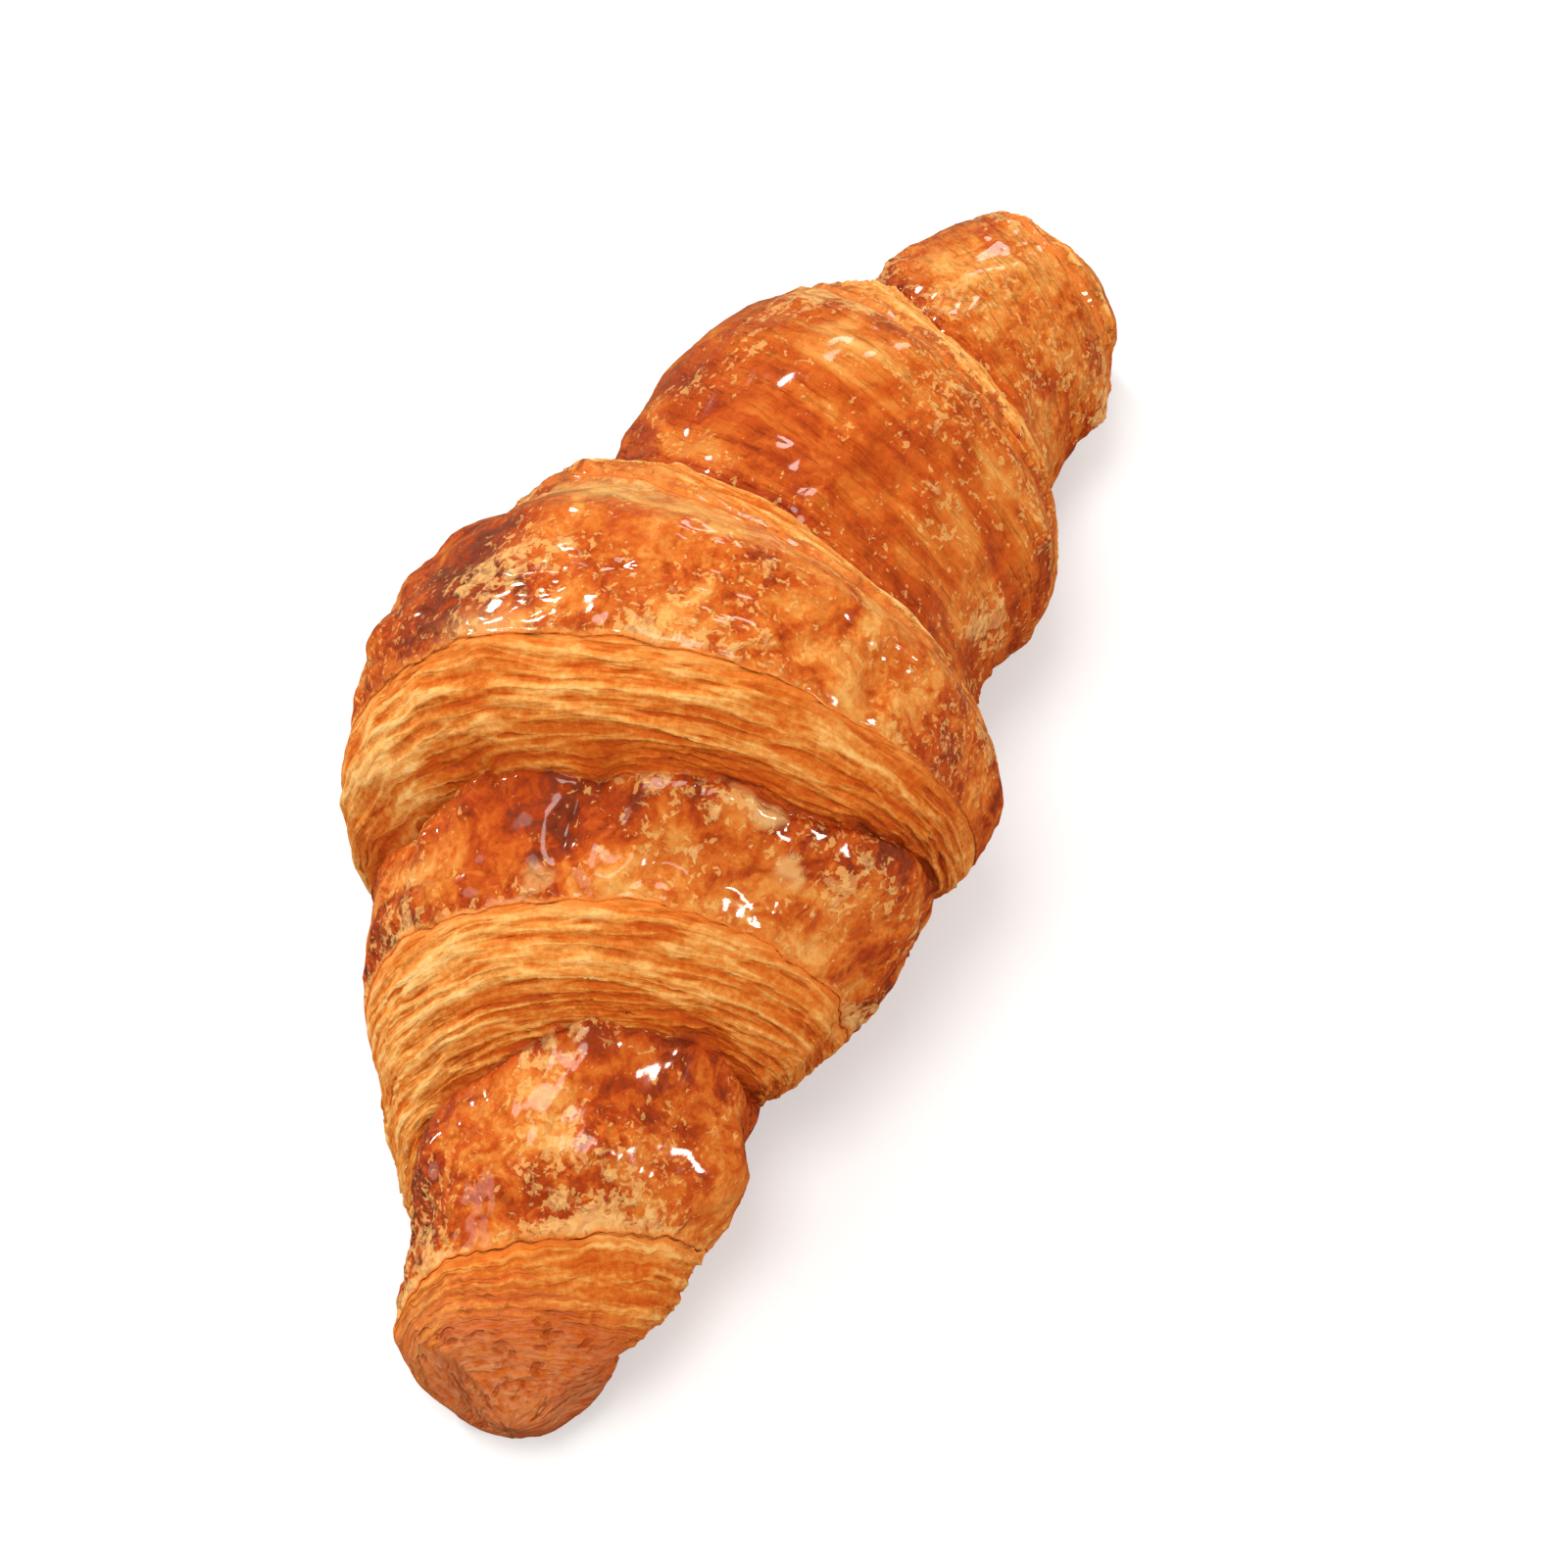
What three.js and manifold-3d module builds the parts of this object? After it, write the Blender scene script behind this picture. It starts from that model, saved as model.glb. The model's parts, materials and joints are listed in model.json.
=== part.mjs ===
// A large butter croissant, baked in one piece and lying on its flat base.
// A long triangle of layered dough is rolled from its wide edge to its point, so the triangle's two
// slanting edges show as spiral rims that step down towards the two tips. Millimetres, +Z up.
import * as THREE from "three";
import { ParametricGeometry } from "three/addons/geometries/ParametricGeometry.js";
import { mergeVertices } from "three/addons/utils/BufferGeometryUtils.js";
import Module from "manifold-3d";

// The two halves of the roll, measured along its spine from the middle of the belly to each tip.
//   cap    length of the rounded end
//   rims   distance of each rim from the middle, where it crosses the top of the roll
//   bands  width of the bare layered band outside each rim
//   steps  how far the roll steps down at each rim
const NEAR = {
  sign: -1,
  length: 84.5,
  cap: 8,
  rims: [0, 14.9, 37.5, 69.6],
  bands: [3, 9.3, 10.6, 17],
  steps: [0, 4.5, 3.5, 3.4],
};
const FAR = {
  sign: 1,
  length: 87.5,
  cap: 5,
  rims: [0, 8.1, 49.2, 80],
  bands: [3, 7, 8.5, 5],
  steps: [0, 4.8, 4, 2.4],
};

// Mean radius of the roll at distances along the spine, from the near tip to the far one.
const BODY = [
  [-NEAR.length, 6.8], [-78, 10.9], [-70, 13.4], [-60, 17.3], [-50, 19.5], [-40, 23.5], [-30, 26.9],
  [-20, 32], [-10, 34.1], [0, 33.8], [10, 28.6], [24, 25.6], [36, 25.3], [46, 23.1], [58, 17.4],
  [70, 15.1], [80, 12], [FAR.length, 9.6],
];

// Turns of the roll, counted from the point of the dough, at which the rims cross the top.
const TURNS_AT_TOP = [0, 0.46, 1.46, 2.46];
// Where the point of the dough lies round the roll, from the outer side over the top: low on the inside.
const POINT_ANGLE = THREE.MathUtils.degToRad(255);

// The spine bends towards -Y: from the middle to a tip its heading turns by BEND plus BEND_EASING.
const BEND = 0.324;
const BEND_EASING = -0.03;

const FLATTENING = 1.03; // the roll's half width over its mean radius
const SINK = 2.4; // how much the dough has slumped into its flat base
const TIP_LIFT = 4; // how far the undersides of the tips curl up
const OVERHANG = 1.8; // how far a band leans out along the spine under its rim
const OVERHANG_FADE = 12; // length over which that lean dies out before the tip
const FULL_STEP = 4; // a step at least this high leans out fully
const RIM_CREST = 0.5; // share of a step that stands above the mean radius at a rim
const BAND_DROP = 1.1; // share of a step that the band falls by, from the rim to its crease
const BAND_CURVE = 1.5; // how late in the band that fall comes
const CREASE_REACH = 3.2; // length over which the surface climbs back out of a crease
const SWELL_REACH = 8; // length over which the surface swells up to the next rim
const UNDERSIDE_RELIEF = 0.45; // share of the relief that is left on the flattened underside

const STEPS_ALONG = 92;
const STEPS_AROUND = 44;
const MERGE_DISTANCE = 0.001;

// A smooth curve through points, which never overshoots between them and goes on straight past them.
class MonotoneCurve {
  constructor(xs, ys) {
    this.xs = xs;
    this.ys = ys;
    const chords = xs.slice(1).map((x, i) => (ys[i + 1] - ys[i]) / (x - xs[i]));
    this.slopes = xs.map((_, i) => {
      const before = chords[Math.max(i - 1, 0)];
      const after = chords[Math.min(i, chords.length - 1)];
      if (before * after <= 0) return 0;
      return (2 * before * after) / (before + after);
    });
  }

  at(x) {
    const { xs, ys, slopes } = this;
    const last = xs.length - 1;
    if (x <= xs[0]) return ys[0] + slopes[0] * (x - xs[0]);
    if (x >= xs[last]) return ys[last] + slopes[last] * (x - xs[last]);
    const i = xs.findIndex((start, k) => x >= start && x < xs[k + 1]);
    const span = xs[i + 1] - xs[i];
    const t = (x - xs[i]) / span;
    const t2 = t * t;
    const t3 = t2 * t;
    const fromStart = (2 * t3 - 3 * t2 + 1) * ys[i] + (t3 - 2 * t2 + t) * span * slopes[i];
    const fromEnd = (3 * t2 - 2 * t3) * ys[i + 1] + (t3 - t2) * span * slopes[i + 1];
    return fromStart + fromEnd;
  }
}

for (const half of [NEAR, FAR]) {
  half.rimAt = new MonotoneCurve(TURNS_AT_TOP, half.rims);
  half.bandAt = new MonotoneCurve(TURNS_AT_TOP, half.bands);
  half.stepAt = new MonotoneCurve(TURNS_AT_TOP, half.steps);
}
const meanRadius = new MonotoneCurve(
  BODY.map(([distance]) => distance),
  BODY.map(([, radius]) => radius),
);

// The point of the spine at s, which is negative towards the near tip, and its heading there.
function spineAt(s) {
  const slices = 24;
  const length = s < 0 ? NEAR.length : FAR.length;
  const headingAt = (distance) => {
    const share = distance / length;
    return -(BEND * share + BEND_EASING * share ** 3);
  };
  let x = 0;
  let y = 0;
  for (let i = 0; i < slices; i++) {
    const heading = headingAt(((i + 0.5) * s) / slices);
    x += (Math.cos(heading) * s) / slices;
    y += (Math.sin(heading) * s) / slices;
  }
  return { x, y, heading: headingAt(s) };
}

// How far the surface has swollen up to the rim ahead of it.
function swellTo(half, turn, distance) {
  const toRim = half.rimAt.at(turn) - distance;
  return RIM_CREST * half.stepAt.at(turn) * Math.exp(-((toRim / SWELL_REACH) ** 2));
}

// How far the surface stands off the mean radius, and how far it leans out along the spine,
// at s along the spine and at a turn round the roll counted from the dough's point.
function reliefAt(s, turn) {
  const half = s < 0 ? NEAR : FAR;
  const distance = Math.abs(s);
  let rims = 0;
  while (distance >= half.rimAt.at(turn + rims)) rims++;
  if (rims === 0) return { rise: swellTo(NEAR, turn, -s) + swellTo(FAR, turn, s), lean: 0 };

  const rimTurn = turn + rims - 1;
  const fromRim = distance - half.rimAt.at(rimTurn);
  const step = half.stepAt.at(rimTurn);
  const width = half.bandAt.at(rimTurn);
  const share = fromRim / width;
  if (share <= 1) {
    const fade = Math.min(1, (half.length - distance) / OVERHANG_FADE);
    const rise = step * (RIM_CREST - BAND_DROP * share ** BAND_CURVE);
    const lean = OVERHANG * Math.sin(Math.PI * share) * Math.min(1, step / FULL_STEP) * fade;
    return { rise, lean: half.sign * lean };
  }
  const crease = (RIM_CREST - BAND_DROP) * step * Math.exp(-(fromRim - width) / CREASE_REACH);
  const clearOfBand = Math.min(1, 2 * (share - 1));
  return { rise: crease + swellTo(half, rimTurn + 1, distance) * clearOfBand, lean: 0 };
}

// A point of the skin: v runs along the roll from the near tip to the far one, u once round it
// from the outer side over the top, the inner side and the underside.
function skinPoint(u, v, target) {
  const s = -NEAR.length + (NEAR.length + FAR.length) * v;
  const half = s < 0 ? NEAR : FAR;
  const angle = 2 * Math.PI * u;
  const turn = THREE.MathUtils.euclideanModulo(POINT_ANGLE - angle, 2 * Math.PI) / (2 * Math.PI);
  const relief = reliefAt(s, turn);

  const capShare = Math.min(1, (half.length - Math.abs(s)) / half.cap);
  const capScale = Math.sqrt(Math.max(0, 1 - (1 - capShare) ** 2));
  const underside = THREE.MathUtils.smoothstep(-Math.sin(angle), 0.3, 0.9);
  const rise = relief.rise * (1 - (1 - UNDERSIDE_RELIEF) * underside);
  const mean = meanRadius.at(s);
  const radius = (mean + rise) * capScale;

  const spine = spineAt(s + relief.lean);
  const lift = TIP_LIFT * (Math.abs(s) / half.length) ** 3;
  const sideways = radius * FLATTENING * Math.cos(angle);
  const upwards = radius * (2 - FLATTENING) * Math.sin(angle);
  target.set(
    spine.x - Math.sin(spine.heading) * sideways,
    spine.y + Math.cos(spine.heading) * sideways,
    mean * (2 - FLATTENING) - SINK + lift + upwards,
  );
}

// A geometry as a manifold-3d solid: only positions, shared vertices merged, no collapsed triangles.
function solidOf(wasm, geometry) {
  const bare = geometry.clone();
  bare.deleteAttribute("normal");
  bare.deleteAttribute("uv");
  const merged = mergeVertices(bare, MERGE_DISTANCE);
  const corners = merged.index.array;
  const kept = [];
  for (let i = 0; i < corners.length; i += 3) {
    const [a, b, c] = corners.slice(i, i + 3);
    if (a !== b && b !== c && c !== a) kept.push(a, b, c);
  }
  const vertProperties = merged.attributes.position.array;
  const triVerts = new Uint32Array(kept);
  return new wasm.Manifold(new wasm.Mesh({ numProp: 3, vertProperties, triVerts }));
}

function geometryOf(solid) {
  const mesh = solid.getMesh();
  const geometry = new THREE.BufferGeometry();
  geometry.setAttribute("position", new THREE.BufferAttribute(mesh.vertProperties, mesh.numProp));
  geometry.setIndex(new THREE.BufferAttribute(mesh.triVerts, 1));
  geometry.computeVertexNormals();
  return geometry;
}

// The whole skin, with everything below the baking tray's face cut off flat.
function croissantGeometry(wasm) {
  const skin = new ParametricGeometry(skinPoint, STEPS_AROUND, STEPS_ALONG);
  const width = 2 * (NEAR.length + FAR.length);
  const depth = 20;
  const tray = new THREE.BoxGeometry(width, width, depth).translate(0, 0, -depth / 2);
  return geometryOf(solidOf(wasm, skin).subtract(solidOf(wasm, tray)));
}

const wasm = await Module();
wasm.setup();

const geometry = croissantGeometry(wasm);
const centre = new THREE.Box3()
  .setFromBufferAttribute(geometry.getAttribute("position"))
  .getCenter(new THREE.Vector3());
geometry.translate(-centre.x, -centre.y, 0);

const crust = new THREE.MeshStandardMaterial({ color: 0xc0692a, roughness: 0.45, metalness: 0 });
const croissant = new THREE.Mesh(geometry, crust);
croissant.name = "croissant";

const group = new THREE.Group();
group.add(croissant);
export default group;
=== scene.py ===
"""A butter croissant: its baked crust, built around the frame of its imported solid.

The dough is a long triangle of layers rolled up from its wide edge, so beside the belly the surface is one
spiral strip on each side. The rows of the mesh follow that spiral, so each rim and crease is one row.
"""

from __future__ import annotations

import json
import logging
import math
from dataclasses import dataclass, field
from enum import Enum
from typing import Any, Callable, Mapping, Sequence, Union

import bpy
import numpy as np
from mathutils import Matrix, Vector

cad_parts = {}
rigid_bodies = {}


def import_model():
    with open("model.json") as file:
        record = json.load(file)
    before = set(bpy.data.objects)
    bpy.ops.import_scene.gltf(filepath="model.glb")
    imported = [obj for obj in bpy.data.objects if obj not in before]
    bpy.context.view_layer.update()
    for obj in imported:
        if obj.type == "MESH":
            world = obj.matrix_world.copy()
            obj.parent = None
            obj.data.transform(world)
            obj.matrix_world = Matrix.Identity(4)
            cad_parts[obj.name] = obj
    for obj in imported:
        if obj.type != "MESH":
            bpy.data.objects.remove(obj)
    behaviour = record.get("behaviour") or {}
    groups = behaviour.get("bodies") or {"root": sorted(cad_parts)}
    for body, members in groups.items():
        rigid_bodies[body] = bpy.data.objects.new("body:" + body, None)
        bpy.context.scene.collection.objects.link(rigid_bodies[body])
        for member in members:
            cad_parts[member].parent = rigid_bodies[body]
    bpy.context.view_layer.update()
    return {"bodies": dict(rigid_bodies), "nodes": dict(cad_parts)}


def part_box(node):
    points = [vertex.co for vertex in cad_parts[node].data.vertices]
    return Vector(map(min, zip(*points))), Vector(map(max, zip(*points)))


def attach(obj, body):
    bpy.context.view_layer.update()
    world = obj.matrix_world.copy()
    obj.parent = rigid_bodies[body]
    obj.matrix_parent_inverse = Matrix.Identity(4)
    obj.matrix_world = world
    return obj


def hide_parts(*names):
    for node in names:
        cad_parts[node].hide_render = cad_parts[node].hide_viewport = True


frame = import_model()

logging.basicConfig(level=logging.INFO, format="%(message)s")
LOG = logging.getLogger("croissant")

MM = 0.001
BODY = "root"
NODE = "croissant"

Colour = tuple[float, float, float, float]
Value = Union[float, str, Sequence[float], "Shade", "Field"]


def linked(name: str, data: bpy.types.ID) -> bpy.types.Object:
    """Makes an object of a mesh, a lamp or a camera, and links it to the scene.

    Args:
        name: The object's name.
        data: What it shows.

    Returns:
        The object.
    """
    made = bpy.data.objects.new(name, data)
    bpy.context.scene.collection.objects.link(made)
    return made


# Shape of the roll


def smoothstep(low: float, high: float, x: np.ndarray) -> np.ndarray:
    """Rises smoothly from 0 at low to 1 at high.

    Args:
        low: Where the rise starts.
        high: Where it ends. It may be below low, for a fall.
        x: The places to give the share for.

    Returns:
        The share at each place, from 0 to 1.
    """
    t = np.clip((x - low) / (high - low), 0.0, 1.0)
    return t * t * (3.0 - 2.0 * t)


@dataclass(frozen=True)
class MonotoneCurve:
    """A smooth curve through points, which never overshoots between them.

    Attributes:
        xs: Where the points are, rising.
        ys: The curve's value at each.
    """

    xs: tuple[float, ...]
    ys: tuple[float, ...]

    def __call__(self, x: np.ndarray) -> np.ndarray:
        """Gives the curve's values.

        Args:
            x: Where to read the curve. It goes on straight past its ends.

        Returns:
            The value at each place.
        """
        xs, ys = np.array(self.xs), np.array(self.ys)
        spans = np.diff(xs)
        chords = np.diff(ys) / spans
        before, after = chords[:-1], chords[1:]
        same_way = before * after > 0
        total = np.where(same_way, before + after, 1.0)
        inner = np.where(same_way, 2.0 * before * after / total, 0.0)
        slopes = np.concatenate([chords[:1], inner, chords[-1:]])
        i = np.clip(np.searchsorted(xs, x, side="right") - 1, 0, len(spans) - 1)
        t = np.clip((x - xs[i]) / spans[i], 0.0, 1.0)
        from_start = (2 * t**3 - 3 * t**2 + 1) * ys[i] + (t**3 - 2 * t**2 + t) * spans[i] * slopes[i]
        from_end = (3 * t**2 - 2 * t**3) * ys[i + 1] + (t**3 - t**2) * spans[i] * slopes[i + 1]
        past_start = np.minimum(x - xs[0], 0.0) * slopes[0]
        past_end = np.maximum(x - xs[-1], 0.0) * slopes[-1]
        return from_start + from_end + past_start + past_end


class Side(Enum):
    """The two halves of the roll, with the way each runs along the spine."""

    NEAR = -1
    FAR = 1


# Turns of the dough, counted from its point, at the point and at each crossing of the top.
TURNS_AT_TOP = (0.0, 0.46, 1.46, 2.46)
# The turn at which the dough's edge comes to the tip.
LAST_TURN = 3.0
# The turns over which the rim grows out of the point of the dough, and its lip sinks away by the tip.
RIM_SETS_IN = (0.1, 0.45)
LIP_SETTLES = (LAST_TURN, LAST_TURN - 0.3)
# The turns over which the bare band grows out of the point of the dough.
BAND_SETS_IN = (0.0, 0.25)
WHOLE_TURN = 2 * np.pi


@dataclass(frozen=True)
class Half:
    """One half of the roll, in millimetres along its spine from the middle of the belly.

    Attributes:
        side: Which half it is.
        length: From the middle to the tip.
        cap: Length of the rounded end.
        rims: Where each rim crosses the top of the roll.
        bands: Width of the bare layered band outside each rim.
        steps: How far the roll steps down at each rim.
        cracks: Depth of the crease at the foot of each band.
        bare_tip: Whether the tip beyond the last band is bare too.
        flare: How much wider a band is where it spreads on the outer side.
        flare_at: The turn at which it spreads most.
        flare_reach: How many turns away from there it still spreads.
        least_band: Width of the narrowest band.
    """

    side: Side
    length: float
    cap: float
    rims: tuple[float, ...]
    bands: tuple[float, ...]
    steps: tuple[float, ...]
    cracks: tuple[float, ...]
    bare_tip: bool
    flare: float = 0.0
    flare_at: float = 0.0
    flare_reach: float = 0.1
    least_band: float = 1.0

    def smooth_rim(self, turn: np.ndarray) -> np.ndarray:
        """Distance of the untorn rim from the middle, at a turn counted from the point of the dough."""
        return MonotoneCurve(TURNS_AT_TOP + (LAST_TURN,), self.rims + (self.length,))(turn)

    def rim(self, turn: np.ndarray) -> np.ndarray:
        """Distance of the torn rim from the middle, at a turn."""
        return np.minimum(self.smooth_rim(turn) + self.raggedness(turn), self.length)

    def raggedness(self, turn: np.ndarray) -> np.ndarray:
        """How far the torn rim wanders from its smooth line.

        It is a sum of waves, in millimetres, which die out by the point of the dough and by the tip.

        Args:
            turn: Turns of the dough, counted from its point.

        Returns:
            The distance, in millimetres.
        """
        room = smoothstep(0.05, 0.4, turn) * smoothstep(LAST_TURN, LAST_TURN - 0.25, turn)
        phase = 1.7 * self.side.value
        angle = WHOLE_TURN * turn
        slow = 0.35 * np.sin(1.9 * angle + 0.13 * WHOLE_TURN + phase) + 0.28 * np.sin(4.3 * angle + phase)
        quick = 0.13 * np.sin(11.7 * angle) + 0.11 * np.sin(23.1 * angle + phase)
        torn = 0.1 * np.sin(41.3 * angle + 2.0 * np.sin(5.1 * angle))
        return room * (slow + quick + torn)

    def band(self, turn: np.ndarray) -> np.ndarray:
        """Width of the bare band outside the rim, at a turn.

        Args:
            turn: Turns of the dough, counted from its point.

        Returns:
            The width, in millimetres.
        """
        wander = 1.0 + 0.1 * np.sin(WHOLE_TURN * (2.6 * turn + 0.2)) + 0.06 * np.sin(WHOLE_TURN * 6.7 * turn)
        spread = self.flare * np.exp(-(((turn - self.flare_at) / self.flare_reach) ** 2))
        return np.maximum(MonotoneCurve(TURNS_AT_TOP, self.bands)(turn), self.least_band) * wander + spread

    def step(self, turn: np.ndarray) -> np.ndarray:
        """How far the roll steps down at the rim, at a turn."""
        return np.maximum(MonotoneCurve(TURNS_AT_TOP, self.steps)(turn), 0.0)

    def crack(self, turn: np.ndarray) -> np.ndarray:
        """Depth of the crease at the foot of the band, at a turn.

        Args:
            turn: Turns of the dough, counted from its point.

        Returns:
            The depth, in millimetres.
        """
        round_roll = 0.75 - 0.6 * np.cos(WHOLE_TURN * (turn - TURNS_AT_TOP[1]))
        wander = 1.0 + 0.25 * np.sin(WHOLE_TURN * 3.37 * turn) + 0.2 * np.sin(WHOLE_TURN * 8.3 * turn)
        return np.maximum(MonotoneCurve(TURNS_AT_TOP, self.cracks)(turn), 0.0) * wander * round_roll


NEAR = Half(
    side=Side.NEAR,
    length=84.5,
    cap=6.5,
    rims=(0.0, 14.9, 37.5, 69.6),
    bands=(3.0, 9.3, 10.6, 17.0),
    steps=(0.0, 4.5, 3.5, 3.4),
    cracks=(0.0, 3.0, 2.2, 0.0),
    bare_tip=True,
    flare=8.0,
    flare_at=1.71,
)
FAR = Half(
    side=Side.FAR,
    length=87.5,
    cap=5.0,
    rims=(0.0, 8.1, 49.2, 80.0),
    bands=(3.0, 7.0, 8.5, 5.0),
    steps=(0.0, 4.8, 4.0, 2.4),
    cracks=(0.0, 1.8, 1.6, 0.6),
    bare_tip=False,
)


@dataclass(frozen=True)
class RollShape:
    """The outer form of the rolled dough, in millimetres.

    Attributes:
        near: The half that ends in the slimmer tip.
        far: The half that ends in the blunt tip.
        body_at: Places along the spine at which the mean radius is given.
        body_radius: The mean radius at each of them.
        point_angle: Where the point of the dough is tucked under, in radians from the outer side.
        bend: How far the spine's heading turns from the middle to a tip, in radians.
        bend_easing: How much more it turns towards the tips, in radians.
        flattening: Width of the roll over its mean width.
        sink: How far the belly is pressed flat underneath.
        tip_lift: How far the tips curl up.
        overhang: How far a band leans out over its crease.
        overhang_fade: Distance from the tip within which that fades.
        full_step: The step at which a band leans out fully.
        rim_crest: Height of a rim over the mean surface, as a share of its step.
        band_drop: How far a band falls away, as a share of its step.
        band_curve: How late it falls away.
        crease_reach: How far the surface takes to recover beyond a band.
        crack_width: Half the width of the crack at the foot of a band.
        hollow_reach: How far the painted shade of a crease reaches.
        brown_step: The step at whose foot a crease takes its full painted shade.
        flaky_reach: How far the flakes of a rim reach.
        swell_reach: How far before a rim the surface swells.
        underside_relief: Share of the relief that is left underneath.
        cap_relief: How fast the relief grows from nothing at a tip.
        lip: Height of the torn lip of a rim.
        lip_lean: How far the lip leans outwards, as a share of its height.
        lip_reach: How far the surface takes to recover beyond it.
        dent_browning: How much painted shade a dent takes for each millimetre that it is deep.
        brink_reach: How far the golden line on a rim reaches before it.
        shade_reach: How far it reaches beyond it.
    """

    near: Half = NEAR
    far: Half = FAR
    body_at: tuple[float, ...] = (
        -84.5, -79.0, -70.0, -60.0, -50.0, -40.0, -30.0, -20.0, -10.0,
        0.0, 10.0, 24.0, 36.0, 46.0, 58.0, 70.0, 80.0, 87.5,
    )
    body_radius: tuple[float, ...] = (
        7.4, 10.6, 13.4, 17.3, 19.5, 23.5, 26.9, 32.0, 34.1,
        33.8, 28.6, 25.6, 25.3, 23.1, 17.4, 15.1, 12.0, 9.6,
    )
    point_angle: float = math.radians(255.0)
    bend: float = 0.324
    bend_easing: float = -0.03
    flattening: float = 1.03
    sink: float = 2.4
    tip_lift: float = 4.0
    overhang: float = 1.8
    overhang_fade: float = 12.0
    full_step: float = 4.0
    rim_crest: float = 0.5
    band_drop: float = 1.1
    band_curve: float = 1.5
    crease_reach: float = 3.2
    crack_width: float = 0.55
    hollow_reach: float = 1.9
    brown_step: float = 5.0
    flaky_reach: float = 2.9
    swell_reach: float = 8.0
    underside_relief: float = 0.45
    cap_relief: float = 1.5
    lip: float = 0.12
    lip_lean: float = 0.1
    lip_reach: float = 4.0
    dent_browning: float = 0.3
    brink_reach: float = 0.2
    shade_reach: float = 0.45

    def mean_radius(self, along: np.ndarray) -> np.ndarray:
        """Mean radius of the roll at places along the spine."""
        return MonotoneCurve(self.body_at, self.body_radius)(along)

    def spine(self, along: np.ndarray) -> tuple[np.ndarray, np.ndarray, np.ndarray]:
        """Follows the bent spine.

        Args:
            along: Places along the spine, negative towards the near tip.

        Returns:
            x and y of the spine, and its heading, at each place.
        """
        margin, places = 4.0, 1601
        grid = np.linspace(-self.near.length - margin, self.far.length + margin, places)
        share = grid / np.where(grid < 0, self.near.length, self.far.length)
        heading = -(self.bend * share + self.bend_easing * share**3)
        gaps = np.diff(grid)
        steps_x = (np.cos(heading[1:]) + np.cos(heading[:-1])) / 2 * gaps
        steps_y = (np.sin(heading[1:]) + np.sin(heading[:-1])) / 2 * gaps
        x = np.concatenate([[0.0], np.cumsum(steps_x)])
        y = np.concatenate([[0.0], np.cumsum(steps_y)])
        x -= np.interp(0.0, grid, x)
        y -= np.interp(0.0, grid, y)
        return np.interp(along, grid, x), np.interp(along, grid, y), np.interp(along, grid, heading)

    def swell(self, half: Half, turn: np.ndarray, distance: np.ndarray) -> np.ndarray:
        """How far the surface has swollen up to the rim ahead of it."""
        to_rim = half.rim(turn) - distance
        return self.rim_crest * half.step(turn) * np.exp(-((to_rim / self.swell_reach) ** 2))

    def cap_scale(self, half: Half, distance: np.ndarray) -> np.ndarray:
        """Share of the radius that is left where the end rounds off."""
        share = np.clip((half.length - distance) / half.cap, 0.0, 1.0)
        return np.sqrt(np.maximum(1.0 - (1.0 - share) ** 2, 0.0))

    def place(
        self, along: np.ndarray, angle: np.ndarray, rise: np.ndarray, lean: np.ndarray
    ) -> tuple[np.ndarray, np.ndarray]:
        """Places points of the skin.

        Args:
            along: Place along the spine.
            angle: Angle round the roll, from the outer side over the top.
            rise: How far the point stands off the mean radius.
            lean: How far it is pushed along the spine.

        Returns:
            The points and the ways straight out from the spine, with x, y and z in the last axis.
        """
        distance = np.abs(along)
        length = np.where(along < 0, self.near.length, self.far.length)
        scale = np.where(along < 0, self.cap_scale(self.near, distance), self.cap_scale(self.far, distance))
        underside = smoothstep(0.3, 0.9, -np.sin(angle))
        kept = 1.0 - (1.0 - self.underside_relief) * underside
        mean = self.mean_radius(along)
        radius = (mean + rise * kept) * scale
        x, y, heading = self.spine(along + lean * scale)
        sideways = radius * self.flattening * np.cos(angle)
        upwards = radius * (2.0 - self.flattening) * np.sin(angle)
        height = mean * (2.0 - self.flattening) - self.sink + self.tip_lift * (distance / length) ** 3
        side_x, side_y = -np.sin(heading), np.cos(heading)
        points = np.stack([x + side_x * sideways, y + side_y * sideways, height + upwards], -1)
        outward = np.stack([side_x * np.cos(angle), side_y * np.cos(angle), np.sin(angle)], -1)
        return points, outward * np.minimum(1.0, scale * self.cap_relief)[..., None]


@dataclass(frozen=True)
class Mark:
    """One dent, fold, blister or loose flake of the skin, in millimetres.

    Attributes:
        name: What it is.
        along: Its place along the spine.
        angle: Its angle round the roll, in degrees from the outer side over the top.
        reach: Its half length along the spine.
        spread: Its half length round the roll.
        height: How far it stands up, or how far it is sunk in.
        pale: How pale it is.
        baked: How much browner it is than the skin around it; under the first band it is painted shade.
        flat: Whether it has a flat top and a crisp edge, as a flake does.
    """

    name: str
    along: float
    angle: float
    reach: float
    spread: float
    height: float
    pale: float = 0.0
    baked: float = 0.0
    flat: bool = False

    def share(self, along: np.ndarray, angle: np.ndarray, radius: np.ndarray) -> np.ndarray:
        """How much of the mark each point takes.

        Args:
            along: Place along the spine.
            angle: Angle round the roll, in radians.
            radius: Mean radius of the roll.

        Returns:
            From 0 outside the mark to 1 in its middle.
        """
        turned = (angle - math.radians(self.angle) + np.pi) % WHOLE_TURN - np.pi
        away = np.hypot((along - self.along) / self.reach, turned * radius / self.spread)
        ragged = 0.16 * np.sin(3 * np.arctan2(turned * radius, along - self.along) + self.angle)
        if self.flat:
            return smoothstep(1.1, 0.8, away + ragged)
        return np.exp(-1.6 * (away * (1.0 + 0.5 * ragged)) ** 2)


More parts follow.
